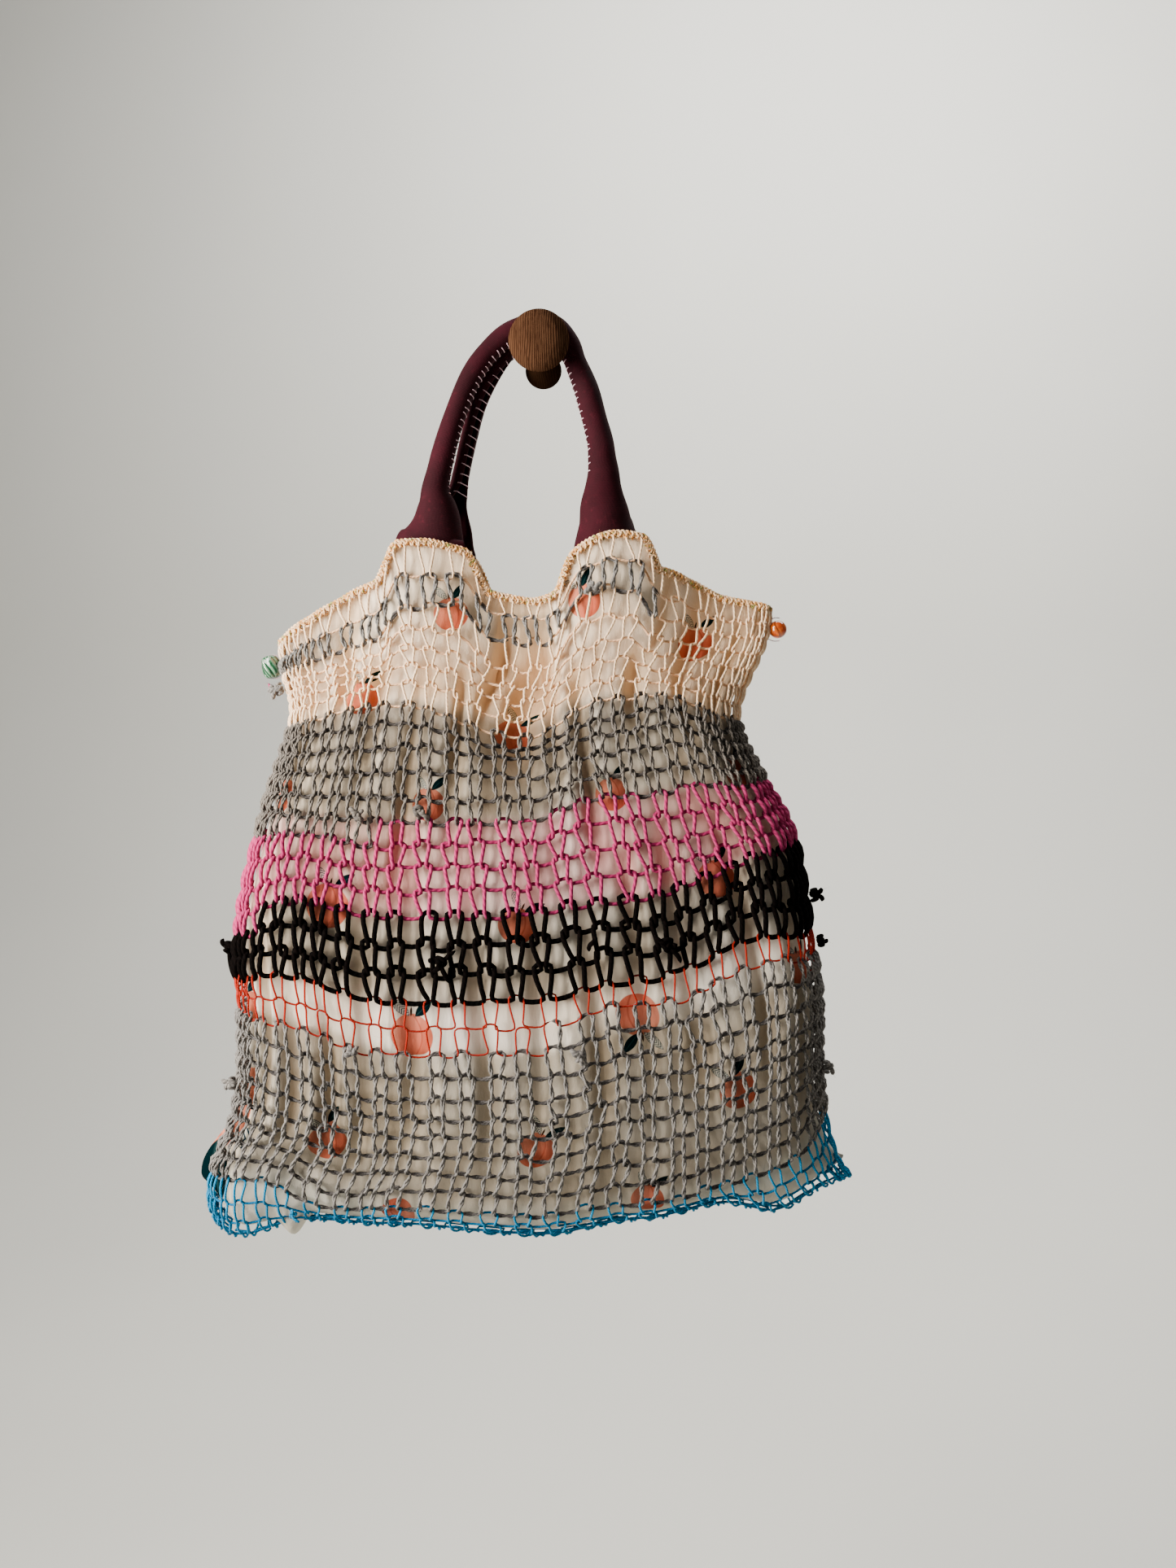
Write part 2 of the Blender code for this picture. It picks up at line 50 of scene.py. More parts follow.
# The hung cloth. These tables and functions are those of the solids, so that every stitch lies on them.
# Rise of the peg for each millimetre out from the wall, and its neck, which carries the handles
PEG_SLANT = 0.136
NECK_REACH = 29.5
NECK_HEIGHT = PEG_SLANT * NECK_REACH
HANG_COLUMNS = (
    "row", "left_x", "right_x", "left_z", "left_crown_z", "middle_z", "right_crown_z", "right_z",
    "half_depth", "centre_y",
)
HANG = (
    (0, -264, 243, -663, -677, -684, -671, -636, 31, -34),
    (4, -262, 221, -642, -656, -660, -651, -597, 31, -35),
    (7, -243, 216, -594, -615, -617, -604, -552, 36, -40),
    (13, -235, 213, -501, -531, -529, -511, -474, 38, -42),
    (15, -237, 207, -477, -491, -489, -473, -439, 38, -42),
    (18, -235, 195, -431, -428, -424, -413, -371, 36, -40),
    (22, -216, 172, -351, -356, -356, -337, -326, 33, -37),
    (27, -196, 152, -286, -266, -279, -262, -281, 27, -31),
    (34, -202, 174, -240, -206, -224, -194, -213, 20, -27),
    (36, -204, 176, -222, -171, -190, -163, -197, 18, -27),
)
HEIGHT_COLUMNS = ("left_z", "left_crown_z", "middle_z", "right_crown_z", "right_z")
STATIONS = (-1.0, -0.33, 0.04, 0.29, 1.0)
BASE_ROW = 4
MOUTH_ROW = 36
SIDE_RADIUS = 36.0
GATHER = 0.16
BULGE = 0.06
# Crowns of the mouth: middle, half of the flat top, slope, lift
CROWNS = (
    (-0.287, 0.105, 0.075, 25.0),
    (0.275, 0.105, 0.065, 22.0),
)
CROWN_LOW_ROW = 26.0
CROWN_HIGH_ROW = 36.0
# Rises of the base seam: across, half width, rise
EARS = (
    (-0.80, 0.15, -23.0),
    (0.66, 0.10, -13.0),
    (0.50, 0.14, 8.0),
)
# Rises of the knitting: across, half width, row, rows either side, rise
LIFTS = (
    (-0.80, 0.17, 4, 6, 10.0),
    (-0.60, 0.13, 4, 5, 14.0),
    (0.76, 0.18, 4, 6, -5.0),
    (0.96, 0.10, 4, 5, 16.0),
    (-0.66, 0.17, 17, 7, 16.0),
    (0.66, 0.16, 15, 5, 14.0),
    (0.56, 0.13, 25, 5, 10.0),
    (0.66, 0.12, 36, 5, -6.0),
)
# Soft folds: across, half width, first row, last row, set back on the front, set back on the back
FOLDS = (
    (-0.33, 0.24, 27, 44, -9.0, -3.0),
    (0.26, 0.22, 27, 44, -11.0, -3.0),
    (-0.02, 0.20, 22, 44, 8.0, 3.0),
    (-0.62, 0.16, 25, 46, 5.0, 2.0),
    (-0.42, 0.14, -2, 14, 4.0, 1.0),
    (0.40, 0.16, 3, 20, 3.0, 1.0),
)
FLAP_START = 0.40
FLAP_WIDTH = 0.24
FLAP_SET_BACK = 11.0
FLAP_FADE = 0.25
FLAP_LOW_ROW = 26
FLAP_HIGH_ROW = 33
SEAM_HALF = 1.1
SIDE_SEAM_HALF = 2.3
# Steps either side of a place on the cloth, to find its outward direction
ACROSS_STEP = 0.01
ROW_STEP = 0.1


def srgb(red, green, blue):
    """A colour from its 0 to 255 screen values."""
    return tuple((channel / 255) ** 2.2 for channel in (red, green, blue))


# Knitting. A yarn's hook is how far its loops reach through those of the next row, its lean is how
# much wider a loop is at its head, its strands are swept one by one round its line, its twist is the
# length of a turn of its plies, and its hairs are those of one stitch.
STITCHES = 28
# Drift of the columns in stitches, the rows over which it changes, and the waves of the rows in rows
WALE_DRIFT = 0.34
WALE_KNOT_ROWS = 4.6
ROW_WAVE = 0.09
# How far the yarns lie off the cloth, and how deep the stitches are in yarn diameters
KNIT_LIFT = 1.0
DEPTH_SHARE = 0.58
# How much the stitches differ in slant, width and depth, as shares of a stitch
UNEVEN = (0.07, 0.028, 0.05)
# Two strands turn round each other: length of a turn, their radius and orbit in yarn diameters, and
# how much further along the plies of the second start
STRAND_PITCH = 21.0
STRAND_RADIUS = 0.27
STRAND_ORBIT = 0.25
STRAND_START = 37.0
# Fibres: length and half width of those on stitches, number, length and half width of those on a knot
# and a tail, and their tone, which sets their painted shade
STITCH_HAIR = (4.5, 0.055)
KNOT_HAIRS = (14, 4.0, 0.06)
TAIL_HAIRS = (10, 4.0, 0.06)
HAIR_SHADE_TONE = 0.75
# How much a fibre leans outward, its shortest share and its bend, and how it tapers
HAIR_OUT = 0.5
HAIR_SHORTEST = 0.4
HAIR_BEND = 0.45
HAIR_TAPER = (0.8, 0.3)
# A cut yarn rounds off over its last diameter, less this share, so that its end isn't a point
CUT_END = 0.15
# A knot: points, radius in yarn diameters, and its turn and loops as shares of its reach
KNOT_POINTS = 44
KNOT_RADIUS = 0.42
KNOT_TURN = 0.6
KNOT_LOOP = 0.55
KNOT_OUT = 0.5
# A tail: points, how far off it starts and bows out, how far it wanders, the power at which it
# falls away, and the share of it that tapers
TAIL_POINTS = 15
TAIL_START = 1.0
TAIL_BOW = 2.2
TAIL_WANDER = 1.2
TAIL_DROOP = 1.3
TAIL_TAPER = 0.3
# A yarn's light and dark colours are a lit and a shaded copy of its colour. The dark one is painted
# shade, for the loops that lie behind its legs and for the grooves between its plies.
Yarn = namedtuple("Yarn", "diameter hook lean strands sides twist hairs light dark sheen")
GREY_LIT = srgb(132, 128, 123)
GREY_SHADED = srgb(58, 54, 55)
YARNS = {
    "blue": Yarn(1.9, 2.8, 0.09, 1, 6, 2.4, 1, srgb(0, 142, 190), srgb(0, 78, 120), 0.1),
    "lower_grey": Yarn(3.8, 3.6, 0.065, 2, 4, 3.0, 22, GREY_LIT, GREY_SHADED, 0.15),
    "red": Yarn(1.5, 3.0, 0.09, 1, 6, 2.0, 1, srgb(182, 40, 20), srgb(112, 18, 10), 0.1),
    "black": Yarn(3.9, 6.8, 0.13, 1, 8, 4.4, 4, srgb(17, 13, 12), srgb(5, 4, 4), 0.0),
    "pink": Yarn(3.2, 4.2, 0.12, 1, 6, 5.0, 8, srgb(190, 60, 112), srgb(112, 18, 58), 0.1),
    "upper_grey": Yarn(3.8, 3.6, 0.08, 2, 4, 3.0, 20, srgb(120, 113, 105), GREY_SHADED, 0.1),
    "cream": Yarn(2.0, 3.0, 0.13, 1, 6, 3.2, 3, srgb(255, 224, 186), srgb(228, 172, 126), 0.15),
    "mouth_grey": Yarn(3.9, 3.6, 0.11, 2, 4, 3.0, 20, GREY_LIT, GREY_SHADED, 0.3),
}
# Bands from the base up: yarn, first row of the hung cloth, knitted rows, and where the change of yarn
# steps up or down, as (side, first column, last column, knitted rows higher)
BANDS = (
    ("blue", 0, 4, ()),
    ("lower_grey", 4, 8, ()),
    ("red", 13, 2, ((1, 15, 27, 1),)),
    ("black", 15, 3, ()),
    ("pink", 18, 4, ((1, 0, 3, -1), (-1, 0, 2, -1))),
    ("upper_grey", 22, 5, ((1, 0, 8, -1), (-1, 0, 5, -1))),
    ("cream", 27, 5, ()),
    ("mouth_grey", 33.4, 1, ((1, 20, 27, 1), (-1, 20, 27, 1))),
    ("cream", 34.7, 1, ()),
)
KNIT_ROWS = sum(band[2] for band in BANDS)
# The loops of the first and last row end here, in knitted rows
LOWEST_LOOP = 0.04
HIGHEST_LOOP = KNIT_ROWS + 0.12
# The columns of stitches drift to the left on the way up: hung row, shift of the front's middle. The
# back's shift is a share of it. The columns in the middle of a face are wider by the spread.
WALE_SHIFTS = ((0, 0.02), (8, 0.02), (13, 0.0), (18, 0.0), (24, -0.03), (36, -0.05))
BACK_SHIFT = -0.5
WALE_SPREAD = 0.14
# Where rows lie off their level on the front: across, half width, knitted row, knitted rows either
# side, hung rows higher
ROW_SHIFTS = (
    (0.03, 0.26, 27.0, 3.2, -1.2),
    (0.04, 0.24, 31.2, 1.8, 0.85),
    (-0.52, 0.12, 4.0, 4.0, -1.1),
)
# Half of a stitch, from the middle of its head down a leg to the middle of the loop between two
# stitches: share of the stitch's width, height from -1 to 1, depth from 1 in front to -1 behind
HALF_STITCH = (
    (0.0, 1.0, -1.0),
    (0.10, 0.97, -0.9),
    (0.18, 0.85, -0.45),
    (0.208, 0.60, 0.3),
    (0.21, 0.22, 0.9),
    (0.21, -0.22, 0.9),
    (0.212, -0.60, 0.3),
    (0.245, -0.85, -0.45),
    (0.35, -0.97, -0.9),
    (0.5, -1.0, -1.0),
)
# Yarn ends left in the knitting: yarn, across, hung row, knot across in yarn diameters, and each tail's
# sideways and upward reach
YARN_ENDS = (
    ("black", -0.205, 16.4, 2.6, ((13, 9), (8, -15))),
    ("black", 0.42, 16.1, 2.4, ((-11, 8), (9, -13))),
    ("black", -0.985, 16.3, 2.2, ((-5, 8), (4, -26))),
    ("black", 0.97, 16.1, 2.2, ((8, 4), (7, -5))),
    ("black", 0.985, 14.4, 1.8, ((4, 1),)),
    ("black", 0.22, 16.7, 0.0, ((-4, -10),)),
    ("lower_grey", -0.47, 12.9, 1.7, ((6, 4),)),
    ("lower_grey", 0.145, 12.6, 1.7, ((-5, 5), (4, -7))),
    ("upper_grey", -0.275, 22.4, 1.8, ((6, -7),)),
    ("upper_grey", -0.47, 22.2, 1.8, ((-6, 6), (3, -6))),
    ("mouth_grey", 0.23, 33.9, 1.6, ((7, 4), (-6, -5))),
    ("lower_grey", -0.91, 9.1, 2.0, ((-6, 3), (-5, -5))),
    ("lower_grey", 0.93, 7.4, 2.0, ((5, 2), (6, -6))),
    ("blue", -0.59, 2.3, 2.4, ((4, -7),)),
    ("mouth_grey", -0.965, 32.0, 2.0, ((-7, 3), (-8, -3), (-6, -9))),
    ("pink", -0.98, 31.4, 0.0, ((-11, 7),)),
)


def hang(name):
    place = HANG_COLUMNS.index(name)
    return np.array([line[place] for line in HANG], float)


HANG_ROWS = hang("row")


def ease(t):
    t = np.clip(t, 0.0, 1.0)
    return t * t * (3.0 - 2.0 * t)


def near(place, middle, reach):
    """Falls smoothly from 1 at the middle to 0 at the reach either side."""
    return ease(1.0 - np.abs(place - middle) / reach)


def smooth_curve(knots, values, x):
    """The cubic curve through the values at the knots, with central slopes, read at x."""
    slopes = np.gradient(values, knots)
    first = np.clip(np.searchsorted(knots, x) - 1, 0, len(knots) - 2)
    span = knots[first + 1] - knots[first]
    t = (x - knots[first]) / span
    start = (2 * t**3 - 3 * t**2 + 1) * values[first] + (t**3 - 2 * t**2 + t) * span * slopes[first]
    end = (3 * t**2 - 2 * t**3) * values[first + 1] + (t**3 - t**2) * span * slopes[first + 1]
    return start + end


def level(name, row):
    return smooth_curve(HANG_ROWS[1:], hang(name)[1:], np.maximum(row, BASE_ROW))


def across_stations(across, heights):
    height = heights[0] + 0.0 * across
    for k in range(len(STATIONS) - 1):
        t = (across - STATIONS[k]) / (STATIONS[k + 1] - STATIONS[k])
        height = height + (heights[k + 1] - heights[k]) * ease(t)
    return height


def bump(across, centre, half_width):
    return np.exp(-(((across - centre) / half_width) ** 2))


def wall_height(across, row):
    """Height of the cloth from the base row up."""
    height = across_stations(across, [level(name, row) for name in HEIGHT_COLUMNS])
    pull = ease((row - CROWN_LOW_ROW) / (CROWN_HIGH_ROW - CROWN_LOW_ROW))
    for middle, flat_half, slope, lift in CROWNS:
        height = height + lift * pull * ease((flat_half + slope - np.abs(across - middle)) / slope)
    for middle, half_width, most_row, reach, rise in LIFTS:
        height = height + rise * near(row, most_row, reach) * bump(across, middle, half_width)
    return height


def cloth_height(across, row, base_rise=0.0):
    """Height of the cloth. Below the base row it turns under to the seam on a quarter round."""
    top = wall_height(across, np.maximum(row, BASE_ROW))
    seam = across_stations(across, [hang(name)[0] for name in HEIGHT_COLUMNS])
    for middle, half_width, rise in EARS:
        seam = seam + rise * bump(across, middle, half_width)
    turn = np.clip(row / BASE_ROW, 0.0, 1.0) * math.pi / 2
    return top - (top - seam - base_rise) * np.cos(turn)


def set_back(across, row, side):
    """How far the cloth is pushed in from its plain section by the folds."""
    total = 0.0 * across
    for centre, half_width, first, last, front, back in FOLDS:
        fade = near(row, (first + last) / 2, (last - first) / 2)
        total = total + (front if side > 0 else back) * fade * bump(across, centre, half_width)
    if side > 0:
        step = ease((across - FLAP_START) / FLAP_WIDTH) * ease((1.0 - across) / FLAP_FADE)
        fade = ease((row - FLAP_LOW_ROW) / (FLAP_HIGH_ROW - FLAP_LOW_ROW))
        total = total + FLAP_SET_BACK * step * fade
    return total


def half_width_at(row):
    left = smooth_curve(HANG_ROWS, hang("left_x"), row)
    right = smooth_curve(HANG_ROWS, hang("right_x"), row)
    return (left + right) / 2, (right - left) / 2


def spread_across(across):
    return (1 + GATHER) * across - GATHER * across**3


def arc_across(across, row):
    """Distance along the cloth from the middle of the face, round the side curve too."""
    _, half_width = half_width_at(row)
    return spread_across(across) * (half_width - SIDE_RADIUS + SIDE_RADIUS * math.pi / 2)


def cloth(across, row, side, depth_inset=0.0, side_inset=0.0, base_rise=0.0, edge_half=None):
    """Points of the hanging cloth: across from -1 to 1, rows up from the base seam, front side 1."""
    across, row = np.broadcast_arrays(np.asarray(across, float), np.asarray(row, float))
    middle, half_width = half_width_at(row)
    flat = half_width - SIDE_RADIUS
    reach = np.abs(arc_across(across, row))
    angle = np.clip((reach - flat) / SIDE_RADIUS, 0.0, math.pi / 2)
    x = middle + np.sign(across) * (np.minimum(reach, flat) + (SIDE_RADIUS - side_inset) * np.sin(angle))
    turn = np.clip(row / BASE_ROW, 0.0, 1.0) * math.pi / 2
    depth = level("half_depth", row) - depth_inset
    depth = depth * (1.0 - BULGE + BULGE * np.cos(spread_across(across) * math.pi / 2))
    depth = depth - set_back(across, row, side)
    if edge_half is None:
        edge_half = SEAM_HALF + (SIDE_SEAM_HALF - SEAM_HALF) * across**4
    y = level("centre_y", row) - side * (edge_half + (depth - edge_half) * np.cos(angle) * np.sin(turn))
    return np.stack([x, y, cloth_height(across, row, base_rise) + NECK_HEIGHT], axis=-1)


def unit(vectors):
    return vectors / np.maximum(np.linalg.norm(vectors, axis=-1, keepdims=True), 1e-9)


def run_length(points):
    """Length along a line at each of its points, and last where it comes back to the first."""
    gaps = np.linalg.norm(np.roll(points, -1, axis=0) - points, axis=1)
    return np.concatenate([[0.0], np.cumsum(gaps)])


def ring_tangent(points):
    """Directions along a closed line."""
    return unit(np.roll(points, -1, axis=0) - np.roll(points, 1, axis=0))


def read_along(at, length, values):
    """Values that are given at these lengths along a line, read at others."""
    return np.stack([np.interp(at, length, column) for column in values.T], axis=-1)


def cloth_outward(across, row, side):
    """Outward directions of the cloth, and its height in millimetres for one hung row."""
    right, left = np.minimum(across + ACROSS_STEP, 1.0), np.maximum(across - ACROSS_STEP, -1.0)
    above, below = row + ROW_STEP, np.maximum(row - ROW_STEP, 0.0)
    sideways = cloth(right, row, side) - cloth(left, row, side)
    upward = cloth(across, above, side) - cloth(across, below, side)
    tall = np.linalg.norm(upward, axis=-1) / (2 * ROW_STEP)
    return unit(np.cross(sideways, upward)) * side, tall


def new_object(name, data):
    made = bpy.data.objects.new(name, data)
    bpy.context.scene.collection.objects.link(made)
    return made


def grid_quads(rows, columns, closed_along=False, closed_around=False):
    """The points at the corners of each cell of a grid of points, which may close on itself."""
    along = np.arange(rows if closed_along else rows - 1)[:, None]
    around = np.arange(columns if closed_around else columns - 1)[None, :]
    after, beside = (along + 1) % rows * columns, (around + 1) % columns
    along = along * columns
    corners = (along + around, along + beside, after + beside, after + around)
    return np.stack(corners, axis=-1).reshape(-1, 4)


class MeshBuilder:
    """Collects quads and their UV maps, so that thousands of small shapes become one mesh."""

    def __init__(self):
        self.points = []
        self.quads = []
        self.maps = []
        self.count = 0

    def add(self, points, quads, maps):
        """The maps hold two numbers for each UV map at each corner."""
        self.points.append(points)
        self.quads.append(quads + self.count)
        self.maps.append(maps)
        self.count += len(points)

    def add_tube(self, points, outward, radius, sides=6, closed=False, start=0.0, tone=0.0):
        """A tube along the points.

        Its first map runs in millimetres along it and from 0 to 1 round it; its second holds the tone,
        which sets the painted shade of a yarn (low is shaded).
        """
        count = len(points)
        tangent = ring_tangent(points) if closed else unit(np.gradient(points, axis=0))
        sideways = unit(np.cross(tangent, outward))
        upward = np.cross(sideways, tangent)
        angle = np.linspace(0.0, math.tau, sides, endpoint=False)[None, :, None]
        radius = np.broadcast_to(np.asarray(radius, float), (count,))[:, None, None]
        spokes = np.cos(angle) * upward[:, None] + np.sin(angle) * sideways[:, None]
        rings = (points[:, None] + radius * spokes).reshape(-1, 3)
        stations = np.arange(count + closed)
        length = start + run_length(points)[stations, None]
        tone = np.broadcast_to(tone, (count,))[stations % count, None]
        share = np.arange(sides + 1)[None, :] / sides
        values = np.stack(np.broadcast_arrays(length, share, tone, 0.0), axis=-1).reshape(-1, 4)
        maps = values[grid_quads(len(stations), sides + 1)]
        self.add(rings, grid_quads(count, sides, closed, True), maps)

    def add_hairs(self, points, outward, count, length, width, generator):
        """Fine fibres that stand off a yarn: narrow strips of two quads that bend and taper."""
        roots = generator.integers(0, len(points), count)
        spread = unit(generator.normal(0.0, 1.0, (count, 3)) + HAIR_OUT * outward[roots])
        reach = length * generator.uniform(HAIR_SHORTEST, 1.0, (count, 1))
        bend = generator.normal(0.0, HAIR_BEND, (count, 3)) * reach
        flat = unit(np.cross(spread, generator.normal(0.0, 1.0, (count, 3)))) * width
        root = points[roots]
        middle = root + 0.5 * reach * spread
        tip = root + reach * spread + bend
        half, least = (share * flat for share in HAIR_TAPER)
        edges = (root - flat, root + flat, middle - half, middle + half, tip - least, tip + least)
        strip = np.stack(edges, axis=1)
        quads = np.arange(count)[:, None, None] * 6 + np.array([[0, 1, 3, 2], [2, 3, 5, 4]])[None]
        maps = np.zeros((count * 2, 4, 4))
        maps[..., 2] = HAIR_SHADE_TONE
        self.add(strip.reshape(-1, 3), quads.reshape(-1, 4), maps)

    def build(self, name, material, slot, *map_names):
        points = np.concatenate(self.points) * MM
        points[:, 1] = np.minimum(points[:, 1], WALL_FACE)
        quads = np.concatenate(self.quads)
        maps = np.concatenate(self.maps)
        mesh = bpy.data.meshes.new(name)
        mesh.vertices.add(len(points))
        mesh.vertices.foreach_set("co", points.astype(np.float32).ravel())
        mesh.loops.add(quads.size)
        mesh.loops.foreach_set("vertex_index", quads.astype(np.int32).ravel())
        mesh.polygons.add(len(quads))
        mesh.polygons.foreach_set("loop_start", np.arange(0, quads.size, 4, dtype=np.int32))
        mesh.update(calc_edges=True)
        for k, map_name in enumerate(map_names):
            layer = mesh.uv_layers.new(name=map_name)
            layer.data.foreach_set("uv", maps[..., 2 * k:2 * k + 2].astype(np.float32).ravel())
        mesh.shade_smooth()
        mesh.validate()
        piece = new_object(name, mesh)
        mesh.materials.append(material)
        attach(piece, "root")
        return piece


class Shader:
    """A Principled material and short calls for the nodes that feed it."""

    def __init__(self, name, roughness, **values):
        self.material = bpy.data.materials.new(name)
        self.material.use_nodes = True
        self.tree = self.material.node_tree
        self.surface = self.tree.nodes["Principled BSDF"]
        self.surface.inputs["Roughness"].default_value = roughness
        for socket, value in values.items():
            self.surface.inputs[socket.replace("_", " ")].default_value = value

    def put(self, socket, value):
        if isinstance(value, bpy.types.NodeSocket):
            self.tree.links.new(value, socket)
        elif socket.type == "RGBA" and len(value) == 3:
            socket.default_value = (*value, 1.0)
        else:
            socket.default_value = value

    def node(self, kind, inputs=(), **settings):
        made = self.tree.nodes.new("ShaderNode" + kind)
        for name, value in settings.items():
            setattr(made, name, value)
        for name, value in dict(inputs).items():
            self.put(made.inputs[name], value)
        return made

    def math(self, operation, *values):
        made = self.node("Math", operation=operation)
        for socket, value in zip(made.inputs, values):
            self.put(socket, value)
        return made.outputs[0]

    def product(self, first, *others):
        for value in others:
            first = self.math("MULTIPLY", first, value)
        return first

    def minus(self, first, *others):
        for value in others:
            first = self.math("SUBTRACT", first, value)
        return first

    def wave(self, value, length):
        """A sine of the value, from 0 to 1, that repeats after the length."""
        turned = self.product(value, math.tau / length)
        return self.math("MULTIPLY_ADD", self.math("SINE", turned), 0.5, 0.5)

    def ramp(self, value, low, high, from_value=0.0, to_value=1.0):
        """Goes smoothly from one value to another as its input goes from low to high."""
        made = self.node("MapRange", interpolation_type="SMOOTHSTEP")
        inputs = (value, low, high, from_value, to_value)
        for name, item in zip(("Value", "From Min", "From Max", "To Min", "To Max"), inputs):
            self.put(made.inputs[name], item)
        return made.outputs[0]

    def mix(self, factor, first, second, blend="MIX"):
        made = self.node("Mix", data_type="RGBA", blend_type=blend)
        self.put(made.inputs[0], factor)
        self.put(made.inputs[6], first)
        self.put(made.inputs[7], second)
        return made.outputs[2]

    def paint(self, colour, *layers):
        """Lays screen colours over a colour, each where the ramp of its value says."""
        for value, ramp, over in layers:
            colour = self.mix(self.ramp(value, *ramp), colour, srgb(*over))
        return colour

    def uv(self, name):
        """The two numbers of a UV map."""
        split = self.node("SeparateXYZ", {"Vector": self.node("UVMap", uv_map=name).outputs[0]})
        return split.outputs[0], split.outputs[1]

    def ply(self, twist):
        """The slanting plies of a swept yarn, from 0 to 1, that turn once in the twist."""
        along, around = self.uv("yarn")
        return self.wave(self.math("MULTIPLY_ADD", around, 2 * twist, along), twist)

    def place(self, x=1.0, y=1.0, z=1.0):
        """The piece's own coordinates in metres, each axis times its factor."""
        own = self.node("TexCoord").outputs["Object"]
        return self.node("Mapping", {"Vector": own, "Scale": (x, y, z)}).outputs[0]

    def noise(self, vector, scale, detail=3.0, roughness=0.5):
        inputs = {"Vector": vector, "Scale": scale, "Detail": detail, "Roughness": roughness}
        return self.node("TexNoise", inputs).outputs[0]

    def finish(self, colour, height=None, distance=0.0002, roughness=None):
        self.put(self.surface.inputs["Base Color"], colour)
        if roughness is not None:
            self.put(self.surface.inputs["Roughness"], roughness)
        if height is not None:
            inputs = {"Height": height, "Distance": distance}
            self.put(self.surface.inputs["Normal"], self.node("Bump", inputs).outputs[0])
        return self.material


def yarn_material(name, yarn):
    """Twisted yarn: slanting plies with painted shade in their grooves, fibres, a slow drift of tone,
    and painted shade on the loops behind its legs.
    """
    sheen = {"Sheen_Weight": yarn.sheen, "Sheen_Roughness": 0.5}
    made = Shader(name + "_yarn", 0.88, Specular_IOR_Level=0.03, **sheen)
    loop_depth_shade, _ = made.uv("tone")
    ply = made.ply(yarn.twist)
    fibre = made.noise(made.place(1.0, 1.0, 0.35), 2600.0, 4.0, 0.7)
    drift = made.noise(made.place(), 24.0, 2.0)
    # Share of the lit colour over the shaded one: painted shade in the ply grooves and on the loops
    # behind the legs, and a speckle of fibres
    tone = made.product(
        made.ramp(ply, 0.0, 0.55, 0.45, 1.0),
        made.ramp(fibre, 0.15, 0.6, 0.7, 1.0),
        made.ramp(loop_depth_shade, 0.0, 0.7, 0.35, 1.0),
    )
    colour = made.mix(tone, yarn.dark, yarn.light)
    shade = made.mix(made.ramp(drift, 0.3, 0.7), (0.84, 0.84, 0.86), (1.0, 1.0, 1.0))
    colour = made.mix(1.0, colour, shade, "MULTIPLY")
    height = made.math("MULTIPLY_ADD", fibre, 0.5, ply)
    return made.finish(colour, height, 0.12 * yarn.diameter / yarn.strands * MM)


def knit_levels():
    """The hung row at which each knitted row begins, and the mouth's."""
    levels = []
    for k, (_, first, rows, _) in enumerate(BANDS):
        last = BANDS[k + 1][1] if k + 1 < len(BANDS) else MOUTH_ROW
        levels += [first + (last - first) * row / rows for row in range(rows)]
    return np.array(levels + [MOUTH_ROW, MOUTH_ROW + 1.0])


def wale_lines(generator, side, levels):
    """Where the columns of stitches begin and end on a face, at each level: a slow, uneven drift."""
    rows = np.arange(len(levels), dtype=float)
    knots = np.arange(0, len(levels) + 2 * WALE_KNOT_ROWS, WALE_KNOT_ROWS)
    shift_rows, shifts = zip(*WALE_SHIFTS)
    shift = np.interp(levels, shift_rows, shifts) * (1.0 if side > 0 else BACK_SHIFT)
    lines = []
    for k, even in enumerate(np.linspace(-1.0, 1.0, STITCHES + 1)):
        drift = generator.uniform(-WALE_DRIFT, WALE_DRIFT, len(knots)) / STITCHES * (0 < k < STITCHES)
        spread = (shift + WALE_SPREAD * even) * (1.0 - even**2)
        lines.append(even + spread + smooth_curve(knots, drift, rows))
    return np.array(lines)


def yarn_names(side):
    """The yarn of each stitch of a face, as [row][column]."""
    rows = [[None] * STITCHES for _ in range(KNIT_ROWS)]
    start = 0
    for name, _, count, steps in BANDS:
        own = [step for step in steps if step[0] == side]
        for column in range(STITCHES):
            rise = sum(up for _, low, high, up in own if low <= column <= high)
            for row in range(start + rise, KNIT_ROWS):
                rows[row][column] = name
        start += count
    return rows


def stitch_steps():
    """Shares, heights and depths of a whole stitch, from its head to the next stitch's, and how far
    each step moves out where the loop is wider."""
    share, height, depth = np.array(HALF_STITCH).T
    share = np.concatenate([share, 1.0 - share[-2:0:-1]])
    height = np.concatenate([height, height[-2:0:-1]])
    depth = np.concatenate([depth, depth[-2:0:-1]])
    half = np.where(share <= 0.5, share, 1.0 - share)
    width = np.where(height > 0, half, 0.5 - half) / 0.25 * height
    return share, height, depth, np.where(share <= 0.5, width, -width)


